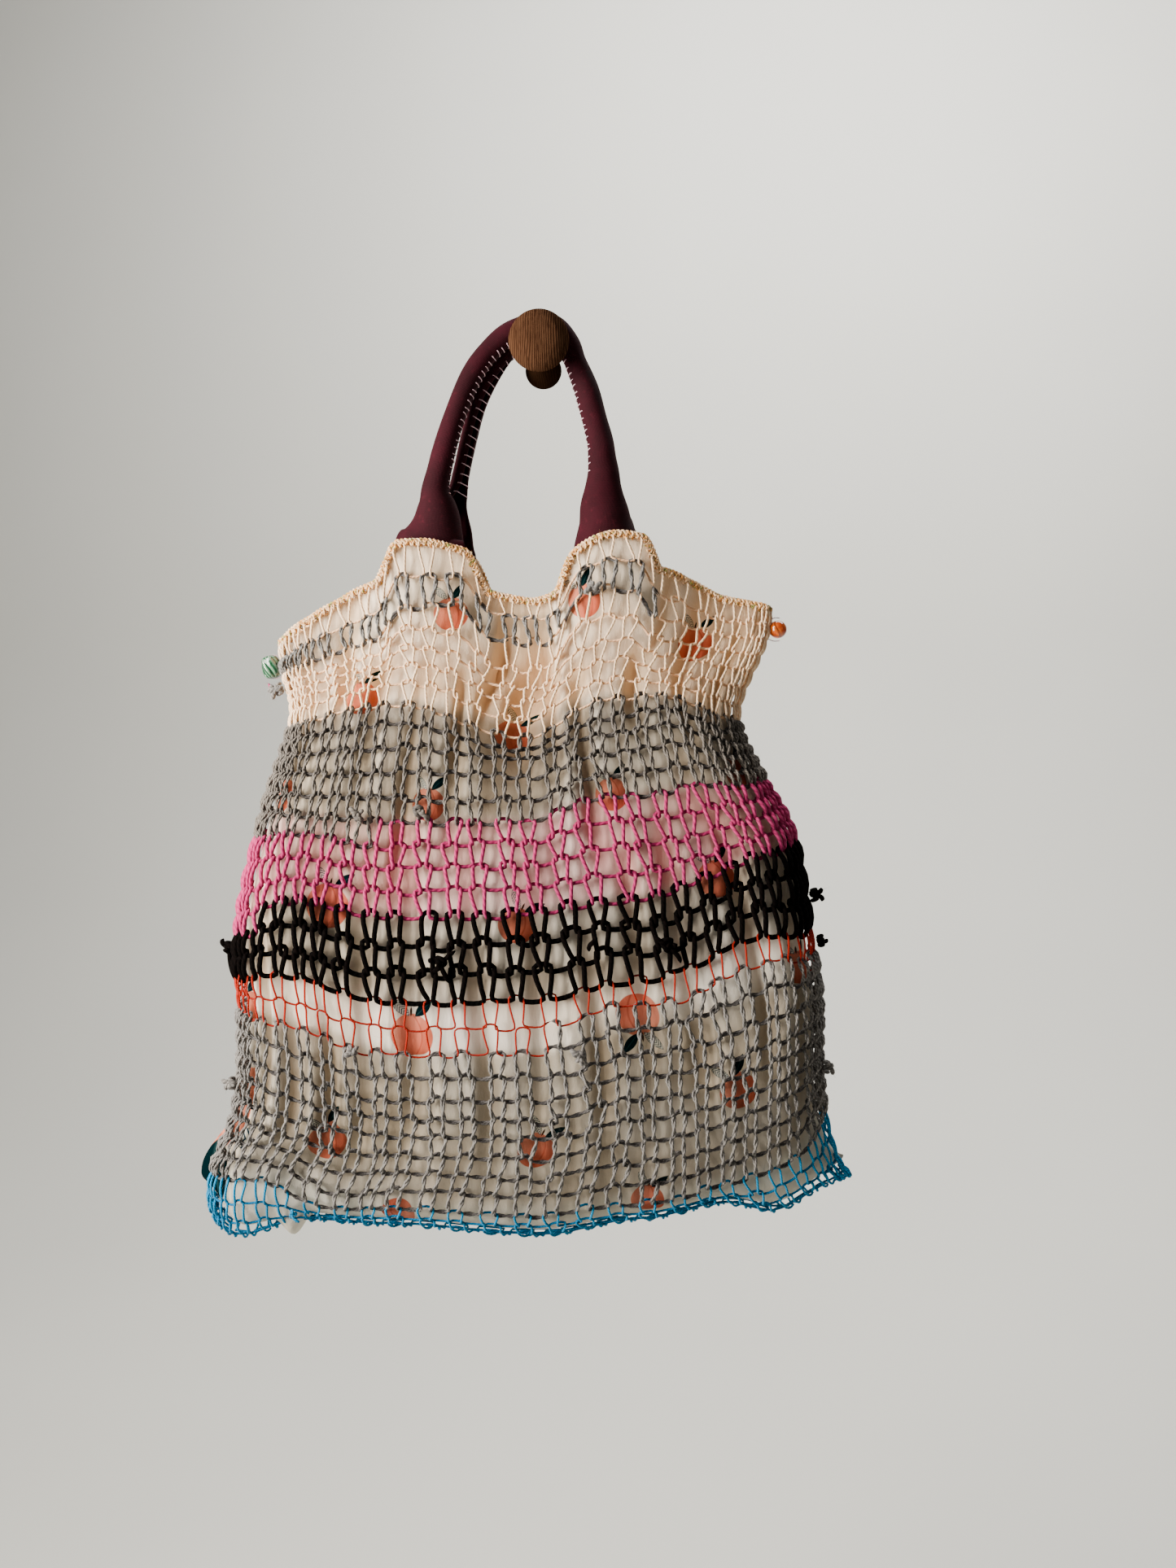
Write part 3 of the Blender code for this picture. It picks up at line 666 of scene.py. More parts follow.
class Knitting:
    """The cover's stitches, knitted round the bag: the front from left to right, then the back."""

    def __init__(self):
        generator = np.random.default_rng(36)
        self.levels = knit_levels()
        self.wales = {side: wale_lines(generator, side, self.levels) for side in (1, -1)}
        self.columns = np.concatenate([np.arange(STITCHES), np.arange(STITCHES)[::-1]])
        self.sides = np.repeat([1, -1], STITCHES)
        faces = {side: yarn_names(side) for side in (1, -1)}
        self.names = np.array([
            [faces[side][row][column] for side, column in zip(self.sides, self.columns)]
            for row in range(KNIT_ROWS)
        ])
        shape = self.names.shape
        self.lean, self.swell, self.drop = (generator.normal(0.0, much, shape) for much in UNEVEN)
        self.wave = generator.uniform(-ROW_WAVE, ROW_WAVE, (KNIT_ROWS + 1, 2 * STITCHES))
        self.wave[[0, KNIT_ROWS]] = 0.0

    def of_yarn(self, field, row):
        row = min(max(row, 0), KNIT_ROWS - 1)
        return np.array([getattr(YARNS[name], field) for name in self.names[row]], float)

    def across(self, rows, shares):
        """Places across the bag, at shares of each stitch's width and at fractional knitted rows."""
        numbers = np.arange(len(self.levels))
        places = np.empty(shares.shape)
        for k, (side, column) in enumerate(zip(self.sides, self.columns)):
            # A stitch of the back runs the other way
            edges = self.wales[side][column:column + 2][::side]
            first, last = (np.interp(rows[k], numbers, edge) for edge in edges)
            places[k] = first + (last - first) * shares[k]
        return np.clip(places, -1.0, 1.0)

    def row_height(self, row):
        """Height in millimetres of each stitch of a row."""
        middle = (self.columns + 0.5) * 2 / STITCHES - 1.0
        span = self.levels[row + 1] - self.levels[row]
        tall = np.empty(len(self.sides))
        for side in (1, -1):
            chosen = self.sides == side
            rows = np.full(chosen.sum(), self.levels[row] + span / 2)
            tall[chosen] = cloth_outward(middle[chosen], rows, side)[1] * span
        return tall

    def row_line(self, row):
        """Points, outward directions and painted shade along a row's yarn, as [stitch][step]: the shade
        is low where a loop lies behind.
        """
        share, height, depth, width = stitch_steps()
        late = share > 0.5

        def steps(values):
            return np.where(late, np.roll(values, -1)[:, None], values[:, None])

        tall = self.row_height(row)
        own = self.of_yarn("hook", row)
        up = (own + self.of_yarn("hook", row + 1)) / 4 / tall + 0.5
        down = (own + self.of_yarn("hook", row - 1)) / 4 / tall + 0.5 + self.drop[row]
        wide = steps(self.of_yarn("lean", row) + self.swell[row])
        shares = share + wide * width + steps(self.lean[row]) * (1.0 + height) / 2
        reach = np.where(height > 0, steps(up), down[:, None])
        feet = self.wave[row]
        feet = (feet + np.roll(feet, -1))[:, None] / 2
        wave = steps(self.wave[row + 1]) * (1.0 + height) / 2 + feet * (1.0 - height) / 2
        rows = np.clip(row + 0.5 + height * reach + wave, LOWEST_LOOP, HIGHEST_LOOP)
        places = self.across(rows, shares)
        hung = np.interp(rows, np.arange(len(self.levels)), self.levels)
        for middle, half_width, most_row, reach, rise in ROW_SHIFTS:
            fade = np.sin(math.pi / 2 * np.clip(1.0 - np.abs(rows - most_row) / reach, 0.0, 1.0))
            hung = hung + rise * fade * bump(places, middle, half_width) * (self.sides > 0)[:, None]
        points = np.empty((*places.shape, 3))
        outward = np.empty((*places.shape, 3))
        for side in (1, -1):
            chosen = self.sides == side
            points[chosen] = cloth(places[chosen], hung[chosen], side)
            outward[chosen] = cloth_outward(places[chosen], hung[chosen], side)[0]
        lift = KNIT_LIFT + DEPTH_SHARE * self.of_yarn("diameter", row)[:, None] * depth
        # Painted shade: loops that lie behind the legs are darker
        depth_shades = np.broadcast_to((depth + 1.0) / 2, places.shape)
        return points + outward * lift[..., None], outward, depth_shades

    def runs(self, row):
        """(yarn, first stitch, number of stitches) for each length of one yarn in a row."""
        names = self.names[row]
        breaks = [k for k in range(len(names)) if names[k] != names[k - 1]]
        if not breaks:
            return [(names[0], 0, len(names))]
        pairs = zip(breaks, breaks[1:] + breaks[:1])
        return [(names[first], first, (last - first) % len(names)) for first, last in pairs]


def sweep_yarn(builder, yarn, line, outward, depth_shades, closed, generator):
    """One length of yarn: its strands twisted round its line, and its hairs."""
    length = run_length(line)[:-1]
    to_end = np.minimum(length, length[-1] - length) / yarn.diameter
    ends = 1.0 if closed else ease(to_end + CUT_END)
    share, orbit = (0.5, 0.0) if yarn.strands == 1 else (STRAND_RADIUS, STRAND_ORBIT)
    radius = yarn.diameter * share * ends
    sideways = unit(np.cross(np.gradient(line, axis=0), outward))
    turns = max(round(length[-1] / STRAND_PITCH), 1)
    for strand in range(yarn.strands):
        angle = math.tau * (turns * length / length[-1] + strand / yarn.strands)[:, None]
        offset = yarn.diameter * orbit * (np.cos(angle) * outward + np.sin(angle) * sideways)
        start = STRAND_START * strand
        builder.add_tube(line + offset, outward, radius, yarn.sides, closed, start, depth_shades)
    hairs = round(yarn.hairs * len(line) / len(stitch_steps()[0]))
    if hairs:
        builder.add_hairs(line, outward, hairs, *STITCH_HAIR, generator)


def add_knot(builder, yarn, centre, outward, size, generator):
    """A small tight tangle of one yarn."""
    t = np.linspace(0.0, math.tau, KNOT_POINTS, endpoint=False)
    turn = generator.uniform(0.0, math.tau)
    sideways = unit(np.cross(outward, (0.0, 0.0, 1.0)))
    upward = np.cross(sideways, outward)
    reach = size * yarn.diameter / 2
    loops = (
        reach * (KNOT_TURN * np.sin(t + turn) + KNOT_LOOP * np.sin(3 * t)),
        reach * (KNOT_TURN * np.cos(t + turn) - KNOT_LOOP * np.cos(2 * t + 1.0)),
        reach * KNOT_OUT * (1.0 + np.sin(5 * t)),
    )
    line = centre + sum(loop[:, None] * axis for loop, axis in zip(loops, (sideways, upward, outward)))
    # Painted shade that rises and falls round the knot's loops
    tone = 0.6 + 0.4 * np.sin(t)
    upright = unit(line - centre + outward)
    builder.add_tube(line, upright, KNOT_RADIUS * yarn.diameter, closed=True, tone=tone)
    builder.add_hairs(line, np.broadcast_to(outward, line.shape), *KNOT_HAIRS, generator)


def add_tail(builder, yarn, start, outward, reach, generator):
    """A loose end that stands off the knitting and hangs."""
    t = np.linspace(0.0, 1.0, TAIL_POINTS)
    side_reach, rise = reach
    wander = generator.uniform(-TAIL_WANDER, TAIL_WANDER, 2)
    line = start + outward * (TAIL_BOW * np.sin(math.pi * t) + TAIL_START)[:, None]
    line[:, 0] += side_reach * t + wander[0] * np.sin(math.tau * t)
    line[:, 2] += rise * t**TAIL_DROOP + wander[1] * np.sin(math.pi * t)
    radius = yarn.diameter / 2 * ease((1.1 - t) / TAIL_TAPER)
    outward = np.broadcast_to(outward, line.shape)
    # A tail's tone leaves it without painted shade
    builder.add_tube(line, outward, radius, tone=0.9)
    half = TAIL_POINTS // 2 + 1
    builder.add_hairs(line[half:], outward[half:], *TAIL_HAIRS, generator)


def make_net(knitting):
    """One piece for each yarn: its rows of stitches, swept as tubes, with its knots and ends."""
    builders = {name: MeshBuilder() for name in YARNS}
    generator = np.random.default_rng(5)
    for row in range(KNIT_ROWS):
        line = knitting.row_line(row)
        for name, first, count in knitting.runs(row):
            closed = count == len(knitting.sides)
            order = [(first + k) % len(knitting.sides) for k in range(count)]
            parts = [part[order].reshape(-1, *part.shape[2:]) for part in line]
            if not closed:
                after = (first + count) % len(knitting.sides)
                parts = [np.concatenate([part, whole[after][:1]]) for part, whole in zip(parts, line)]
            sweep_yarn(builders[name], YARNS[name], *parts, closed, generator)
    for name, across, row, size, tails in YARN_ENDS:
        yarn = YARNS[name]
        across, row = np.array(across), np.array(row)
        outward = cloth_outward(across, row, 1)[0]
        centre = cloth(across, row, 1) + outward * (KNIT_LIFT + yarn.diameter)
        if size:
            add_knot(builders[name], yarn, centre, outward, size, generator)
        for reach in tails:
            add_tail(builders[name], yarn, centre, outward, reach, generator)
    pieces = []
    for name, builder in builders.items():
        material = yarn_material(name, YARNS[name])
        piece = builder.build("net_" + name, material, "knit_yarn", "yarn", "tone")
        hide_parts("knit_front", "knit_back")
        pieces.append(piece)
    return pieces


# Lining: two panels of printed cotton inside the net, with soft upright folds
LINING_INSET = 3.4
LINING_SIDE_INSET = 6.0
LINING_BASE_INSET = 3.0
LINING_CORNER_INSET = 12.0
LINING_SEAM_HALF = 0.8
LINING_COLUMNS = 220
LINING_ROWS = 150
# Folds of the lining: across, half width, first row, last row, how far in, lean for each row
PLEATS = (
    (0.035, 0.075, 21, 37, 19.0, 0.004),
    (-0.075, 0.028, 24, 37, 10.0, 0.007),
    (0.125, 0.026, 22, 34, 9.0, -0.008),
    (-0.17, 0.024, 22, 31, 8.0, 0.003),
    (-0.46, 0.032, 23, 37, 8.0, 0.004),
    (-0.60, 0.026, 24, 37, 7.0, 0.006),
    (0.43, 0.030, 24, 37, 9.0, 0.002),
    (0.24, 0.026, 18, 30, 8.0, -0.004),
    (-0.33, 0.024, 17, 30, 7.0, 0.003),
    (0.60, 0.026, 22, 36, 6.0, -0.004),
    (0.78, 0.028, 20, 36, 6.0, -0.004),
    (-0.80, 0.028, 20, 36, 6.0, 0.003),
    (-0.30, 0.030, 5, 22, 6.0, 0.003),
    (-0.10, 0.030, 3, 20, 6.5, -0.002),
    (0.05, 0.026, 6, 22, 5.5, 0.004),
    (0.21, 0.030, 3, 20, 6.5, -0.003),
    (0.34, 0.024, 7, 22, 5.0, -0.001),
    (0.47, 0.032, 5, 22, 7.0, -0.004),
    (0.66, 0.028, 6, 24, 8.0, -0.006),
    (0.84, 0.028, 5, 22, 8.0, -0.003),
    (-0.44, 0.030, 4, 20, 6.0, 0.002),
    (-0.545, 0.028, 4, 16, 8.0, 0.001),
    (-0.66, 0.036, 4, 17, 8.0, 0.001),
    (-0.775, 0.028, 5, 20, 8.0, 0.002),
    (-0.875, 0.030, 6, 20, 9.0, 0.003),
)
# A fold's fade is stretched by this, so that the middle of its rows has its full depth
PLEAT_FULL = 1.3
# Ripple of the cotton: depth, how much that varies, radians of the broad and the fine waves for
# each half width, share of the fine ones, and radians of their breaks for each half width and row
RIPPLE_DEPTH = 1.8
RIPPLE_SHARE = 0.6
RIPPLE_BROAD = 34.0
RIPPLE_FINE = 61.0
RIPPLE_FINE_SHARE = 0.6
RIPPLE_BREAKS = (7.0, 0.45)
# The lining lies smooth over the ends of the handles: across, half width, from this row up
TABS = (
    (-0.287, 0.16),
    (0.275, 0.15),
)
TAB_ROW = 29.0
TAB_EASE = 0.06
TAB_EASE_ROWS = 3.0
# It also lies smooth near the side seams and the base
SIDE_SMOOTH = 0.12
BASE_SMOOTH_ROWS = 3.0
# Where the lining slips out of the net: past the left side, and under the left corner
PEEK_ROW = 4.6
PEEK_ROWS = 4.2
PEEK_REACH = 17.0
PEEK_START = 0.90
PEEK_EASE = 0.08
CORNER_PEEK = (-0.62, 0.035, 17.0)
# Painted shade and tinted light on the cotton behind each band of yarn: the net's shadow, and the light
# that comes through a yarn's fibres and colours the cotton. First row, last row, tint
NET_SHADE_TINTS = (
    (-1.0, 4.3, (0.66, 0.68, 0.65)),
    (4.3, 13.0, (0.58, 0.54, 0.48)),
    (15.0, 18.0, (0.78, 0.73, 0.67)),
    (18.0, 22.0, (0.84, 0.50, 0.53)),
    (22.0, 27.0, (0.47, 0.42, 0.36)),
    (27.0, 37.0, (1.0, 0.84, 0.66)),
)
FRUIT_RADIUS = 13.0
# Shapes beside a fruit, in its radii: middle, slant in degrees, half length, half width
DARK_LEAF = (0.62, 1.22, 42, 0.62, 0.24)
HATCHED_LEAF = (-0.42, 1.30, 128, 0.60, 0.23)
STEM = (0.02, 1.05, 82, 0.26, 0.06)
# The back's print in half-drop repeat: columns, rows, first place across and its step, first row and
# its step
BACK_COLUMNS, BACK_ROWS = 7, 4
BACK_ACROSS, BACK_ACROSS_STEP = -0.86, 0.286
BACK_ROW, BACK_ROW_STEP = 5.5, 9.6
# Printed fruits of the front: across, row, turn in degrees, size
FRONT_FRUITS = (
    (-0.225, 33.3, 10, 1.0),
    (0.20, 33.6, 25, 1.0),
    (0.595, 32.3, 0, 1.0),
    (-0.54, 27.7, 5, 1.0),
    (0.0, 26.2, -15, 1.0),
    (-0.255, 22.7, 0, 1.0),
    (0.315, 22.1, 10, 1.0),
    (-0.535, 18.0, -10, 1.3),
    (0.01, 17.5, -20, 1.1),
    (0.585, 17.7, 15, 1.1),
    (-0.30, 13.65, 0, 1.28),
    (0.31, 13.5, 190, 1.28),
    (-1.155, 8.3, 225, 3.95),
    (-0.54, 7.2, 20, 1.15),
    (0.035, 7.7, -15, 1.12),
    (0.595, 8.7, 30, 1.15),
    (-0.30, 3.2, 170, 1.0),
    (0.345, 4.1, 0, 1.0),
    (0.88, 13.5, 10, 1.0),
    (0.80, 22.8, 0, 1.0),
    (-0.84, 22.9, 20, 1.0),
    (-0.93, 13.0, 5, 1.0),
)


def back_fruits():
    """The same print on the back panel, each fruit turned by up to 25 degrees."""
    fruits = []
    for column in range(BACK_COLUMNS):
        for k in range(BACK_ROWS):
            row = BACK_ROW + BACK_ROW_STEP * (k + 0.5 * (column % 2))
            if row < MOUTH_ROW:
                turn = (37 * (column + 3 * k)) % 50 - 25
                fruits.append((BACK_ACROSS + BACK_ACROSS_STEP * column, row, turn, 1.0))
    return fruits


def pleat_depth(across, row, side):
    """How far the lining's upright folds lie behind its outer face."""
    depth = 0.0 * across
    for centre, half_width, first, last, most, lean in PLEATS:
        middle = (first + last) / 2
        fade = ease(PLEAT_FULL * (1.0 - np.abs(row - middle) / ((last - first) / 2)))
        place = (centre + lean * (row - middle)) * side
        depth = depth + most * fade * bump(across, place, half_width)
    wander = 1.3 * np.sin(0.31 * row + 2.0 * across) + 0.7 * np.sin(0.17 * row - 1.0)
    breaks = RIPPLE_BREAKS[0] * across + RIPPLE_BREAKS[1] * row
    ripple = np.sin(RIPPLE_BROAD * across + wander) * np.sin(breaks)
    ripple = ripple + RIPPLE_FINE_SHARE * np.sin(RIPPLE_FINE * across - 1.7 * wander + side)
    keep = ease((1.0 - np.abs(across)) / SIDE_SMOOTH) * ease(row / BASE_SMOOTH_ROWS)
    for centre, half_width in TABS:
        beside = ease((half_width + TAB_EASE - np.abs(across - centre)) / TAB_EASE)
        keep = keep * (1.0 - beside * ease((row - TAB_ROW) / TAB_EASE_ROWS))
    return (depth + RIPPLE_DEPTH * (1.0 + RIPPLE_SHARE * ripple)) * keep


def lining_points(across, row, side, depth):
    peek_across, peek_half, peek_drop = CORNER_PEEK
    corner = LINING_BASE_INSET + LINING_CORNER_INSET * across**4
    corner = corner - peek_drop * bump(across, peek_across, peek_half)
    points = cloth(across, row, side, LINING_INSET, LINING_SIDE_INSET, corner, LINING_SEAM_HALF)
    outward, _ = cloth_outward(across, row, side)
    points = points - outward * depth[..., None]
    slipped = near(row, PEEK_ROW, PEEK_ROWS) * ease((-across - PEEK_START) / PEEK_EASE)
    points[..., 0] -= PEEK_REACH * slipped
    return points


def print_map(across, row, side, fruits):
    """For each face, its corners' places beside the nearest fruit, in fruit radii."""
    arc = arc_across(across, row) * side
    height = cloth_height(across, row)
    middles, rows, turns, sizes = np.array(fruits, float).T
    fruit_arc = arc_across(middles, rows) * side
    fruit_height = cloth_height(middles, rows)
    middle_arc = (arc[1:, 1:] + arc[:-1, :-1]) / 2
    middle_height = (height[1:, 1:] + height[:-1, :-1]) / 2
    away = (middle_arc[..., None] - fruit_arc) ** 2 + (middle_height[..., None] - fruit_height) ** 2
    nearest = away.argmin(axis=-1)
    turn = np.radians(turns)[nearest]
    radius = FRUIT_RADIUS * sizes[nearest]
    corners = []
    for low, left in ((0, 0), (0, 1), (1, 1), (1, 0)):
        part = (slice(low, low + nearest.shape[0]), slice(left, left + nearest.shape[1]))
        dx = (arc[part] - fruit_arc[nearest]) / radius
        dz = (height[part] - fruit_height[nearest]) / radius
        turned = (np.cos(turn) * dx + np.sin(turn) * dz, np.cos(turn) * dz - np.sin(turn) * dx)
        corners.append(np.stack(turned, axis=-1))
    return np.stack(corners, axis=2).reshape(-1, 4, 2)


def grid_piece(points, maps, name, material, slot, map_name, flip=False):
    """One piece from a grid of points and the two numbers of its UV map at each point."""
    quads = grid_quads(*points.shape[:2])
    if flip:
        quads = quads[:, ::-1]
    maps = np.stack(np.broadcast_arrays(*maps), axis=-1).reshape(-1, 2)
    builder = MeshBuilder()
    builder.add(points.reshape(-1, 3), quads, maps[quads])
    return builder.build(name, material, slot, map_name)


def weld(piece):
    """Joins the points where the grid of a turned piece closes on itself."""
    modifier = piece.modifiers.new("Weld", "WELD")
    modifier.merge_threshold = WELD_M


def leaf(made, x, y, middle_x, middle_y, angle, half_length, half_width):
    """A pointed leaf of the print: how far inside it a place is, and the places along and across it."""
    dx, dy = made.minus(x, middle_x), made.minus(y, middle_y)
    cosine, sine = math.cos(math.radians(angle)), math.sin(math.radians(angle))
    along = made.math("MULTIPLY_ADD", dy, sine, made.product(dx, cosine))
    beside = made.math("MULTIPLY_ADD", dy, cosine, made.product(dx, -sine))
    share = made.math("DIVIDE", along, half_length)
    edge = made.product(made.minus(1.0, made.product(share, share)), half_width)
    return made.minus(edge, made.math("ABSOLUTE", beside)), along, beside


def printed_fruit(made, cotton):
    """A coral fruit with a crease, one dark leaf and one hatched leaf, over the cotton's colour."""
    x, y = made.uv("print")
    wobble = made.math("MULTIPLY_ADD", made.noise(made.place(), 60.0, 1.0), 0.16, -0.08)
    radius = made.math("SQRT", made.math("MULTIPLY_ADD", y, y, made.product(x, x)))
    inside = made.minus(1.0, radius, wobble)
    bow = made.math("MULTIPLY_ADD", made.product(y, y), -0.42, 0.42)
    crease = made.math("ABSOLUTE", made.minus(x, bow))
    glow = made.ramp(made.minus(x, y), -1.2, 1.2)
    coral = made.mix(glow, srgb(230, 140, 114), srgb(210, 106, 82))
    coral = made.paint(coral, (crease, (0.015, 0.07, 0.55, 0.0), (168, 70, 54)))
    colour = made.mix(made.ramp(inside, 0.0, 0.05), cotton, coral)
    dark, _, beside = leaf(made, x, y, *DARK_LEAF)
    vein = made.ramp(made.math("ABSOLUTE", beside), 0.012, 0.035, 0.5, 0.0)
    green = made.mix(vein, srgb(12, 34, 38), srgb(44, 74, 76))
    colour = made.mix(made.ramp(dark, 0.0, 0.03), colour, green)
    pale, along, beside = leaf(made, x, y, *HATCHED_LEAF)
    hatch = made.wave(made.math("ADD", along, made.math("ABSOLUTE", beside)), 0.13)
    ink = made.math("MAXIMUM", made.ramp(pale, 0.02, 0.05, 1.0, 0.0), made.ramp(hatch, 0.6, 0.85))
    drawn = made.mix(ink, srgb(226, 226, 214), srgb(40, 64, 80))
    colour = made.mix(made.ramp(pale, 0.0, 0.03), colour, drawn)
    stem, _, _ = leaf(made, x, y, *STEM)
    return made.paint(colour, (stem, (0.0, 0.02), (70, 52, 40)))


def lining_material():
    """Pale cotton in plain weave with a print, with painted warm shade deep in its folds, painted shade
    and tinted light behind each band of yarn, and painted shade in the gaps of its weave.
    """
    made = Shader("printed_cotton", 0.9, Specular_IOR_Level=0.0)
    depth, row = made.uv("fold")
    patch = made.ramp(made.noise(made.place(), 9.0), 0.3, 0.7)
    cotton = made.mix(patch, srgb(252, 244, 230), srgb(248, 232, 208))
    # Painted shade: the cotton turns warm tan where it lies deep in a fold
    cotton = made.paint(cotton, (depth, (4.0, 16.0, 0.0, 0.6), (222, 188, 150)))
    colour = printed_fruit(made, cotton)
    # Painted shade and tinted light of the net: half as strong on the cotton's outer face as deep in its
    # folds
    net_shade_share = made.ramp(depth, 0.6, 4.0, 0.5, 1.0)
    for low, high, tint in NET_SHADE_TINTS:
        begins = made.ramp(row, low - 0.5, low + 0.5)
        ends = made.ramp(row, high - 0.5, high + 0.5, 1.0, 0.0)
        colour = made.mix(made.product(begins, ends, net_shade_share), colour, tint, "MULTIPLY")
    weave = made.product(*(made.wave(place, 0.55) for place in made.uv("cloth")))
    # Painted shade in the gaps between the threads of the weave
    gaps = made.ramp(weave, 0.0, 0.5, 0.12, 0.0)
    colour = made.mix(gaps, colour, srgb(150, 140, 128), "MULTIPLY")
    crumple = made.noise(made.place(1.0, 1.0, 0.4), 60.0, 4.0, 0.6)
    return made.finish(colour, made.math("MULTIPLY_ADD", crumple, 14.0, weave), 0.00022)


def make_lining(name, node, side, fruits, material):
    across, row = np.meshgrid(
        np.linspace(-1.0, 1.0, LINING_COLUMNS + 1), np.linspace(0.0, MOUTH_ROW, LINING_ROWS + 1)
    )
    depth = pleat_depth(across, row, side)
    quads = grid_quads(*across.shape)
    flat = np.stack([arc_across(across, row), cloth_height(across, row), depth, row], axis=-1)
    maps = np.concatenate([print_map(across, row, side, fruits), flat.reshape(-1, 4)[quads]], axis=-1)
    if side < 0:
        quads = quads[:, ::-1]
        maps = maps[:, ::-1]
    builder = MeshBuilder()
    builder.add(lining_points(across, row, side, depth).reshape(-1, 3), quads, maps)
    panel = builder.build(name, material, "lining_cotton", "print", "cloth", "fold")
    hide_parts(node)
    return panel


# Edging: a crocheted cord of three strands along the mouth, with small loops down into the net
EDGING_LIFT = 2.2
EDGING_POINTS = 900
EDGING_STRANDS = 3
EDGING_ORBIT = 1.35
EDGING_STRAND = 1.1
EDGING_PITCH = 9.0
EDGING_SWELL = 0.3
# The loops under it: radius, turns for each twist of the strands, how far down they hang and sway,
# and how far off the net
EDGING_LOOP = 0.75
EDGING_LOOP_TURNS = 2
EDGING_LOOP_DROP = (1.6, 2.4, 0.5)
EDGING_LOOP_OFF = (1.5, 0.5)
# Where the plies of each strand and loop start along the dye, so that their colours differ
EDGING_DYE_START = 400.0
EDGING_LOOP_DYE_START = (1300.0, 500.0)
EDGING_HAIRS = (700, 3.0, 0.06)
# The mouth's line: points, how far they are drawn to its ends, and where it lies on the cloth
MOUTH_POINTS = 720
MOUTH_TO_ENDS = 0.25
MOUTH_INSET = 0.8
MOUTH_EDGE_HALF = 1.6


def mouth_line():
    """Points along the mouth, right round it, and the directions up and out from the cloth's edge."""
    half = MOUTH_POINTS // 2
    even = np.linspace(-1.0, 1.0, half, endpoint=False)
    across = MOUTH_TO_ENDS * np.sin(even * math.pi / 2) + (1.0 - MOUTH_TO_ENDS) * even
    points, climbs = [], []
    for side in (1, -1):
        rows = (MOUTH_ROW, MOUTH_ROW - 0.5)
        here, below = (
            cloth(across * side, row, side, MOUTH_INSET, edge_half=MOUTH_EDGE_HALF) for row in rows
        )
        points.append(here)
        climbs.append(here - below)
    points = np.concatenate(points)
    tangent = ring_tangent(points)
    climbs = np.concatenate(climbs)
    climbs = unit(climbs - tangent * np.sum(climbs * tangent, axis=1, keepdims=True))
    return points, climbs, unit(np.cross(tangent, climbs))


def evenly(points, *others):
    """The closed line again with its points the same distance apart, and what goes with it."""
    length = run_length(points)
    at = np.linspace(0.0, length[-1], EDGING_POINTS, endpoint=False)
    closed = (np.concatenate([values, values[:1]]) for values in (points, *others))
    return (at, length[-1], *(read_along(at, length, values) for values in closed))


def edging_material():
    """Variegated cotton: peach, ochre and green along its length, with painted shade between its plies.
    """
    made = Shader("variegated_cotton", 0.85, Sheen_Weight=0.25)
    along, _ = made.uv("yarn")
    ply = made.ply(2.4)
    inputs = {"W": made.product(along, 0.016), "Scale": 6.0, "Detail": 1.5}
    dye = made.node("TexNoise", inputs, noise_dimensions="1D").outputs[0]
    colour = made.paint(
        srgb(250, 208, 158),
        (dye, (0.47, 0.54), (218, 150, 70)),
        (dye, (0.60, 0.63), (132, 136, 56)),
        (dye, (0.66, 0.70), (246, 200, 158)),
        # Painted shade in the grooves between the plies
        (ply, (0.0, 0.5, 0.4, 0.0), (150, 104, 66)),
    )
    fibre = made.noise(made.place(), 2200.0, 3.0, 0.7)
    return made.finish(colour, made.math("MULTIPLY_ADD", fibre, 0.4, ply), 0.00025)


def make_edging(material):
    at, total, points, climbs, outs = evenly(*mouth_line())
    climbs, outs = unit(climbs), unit(outs)
    points = points + EDGING_LIFT * climbs
    twists = round(total / EDGING_PITCH)
    generator = np.random.default_rng(11)
    builder = MeshBuilder()
    for strand in range(EDGING_STRANDS):
        angle = math.tau * (twists * at / total + strand / EDGING_STRANDS)
        orbit = EDGING_ORBIT * (1.0 + EDGING_SWELL * np.sin(5 * angle / 3 + strand))[:, None]
        offset = orbit * (np.cos(angle)[:, None] * climbs + np.sin(angle)[:, None] * outs)
        start = EDGING_DYE_START * strand
        builder.add_tube(points + offset, unit(offset), EDGING_STRAND, 6, True, start)
    down, swing, sway = EDGING_LOOP_DROP
    off, off_swing = EDGING_LOOP_OFF
    dye, dye_step = EDGING_LOOP_DYE_START
    for side in (1, -1):
        angle = math.tau * EDGING_LOOP_TURNS * twists * at / total + side
        drop = (-down - swing * np.cos(angle) - sway * np.cos(0.37 * angle))[:, None]
        line = points + drop * climbs + side * (off + off_swing * np.sin(angle))[:, None] * outs
        builder.add_tube(line, outs * side, EDGING_LOOP, 5, True, dye + dye_step * side)
    builder.add_hairs(points, climbs, *EDGING_HAIRS, generator)
    edging = builder.build("edging", material, "edging_yarn", "yarn", "tone")
    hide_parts("top_edging")
    return edging


# Handles: the strips of the solids, sampled finely, with a ladder of thread across the open side. Each
# line of a table has x, y and z of the rolled strip's middle, the degrees that it is rolled, its half
# width, the degrees that its opening is turned to the wall, and its width in the loop's plane.
HANDLE_THICKNESS = 2.0
HANDLE_ACROSS = 40
HANDLE_STEPS = 8
LEAST_ROLL = 15.0
FULL_ROLL = 350.0
STRIP_HALF = 27.0
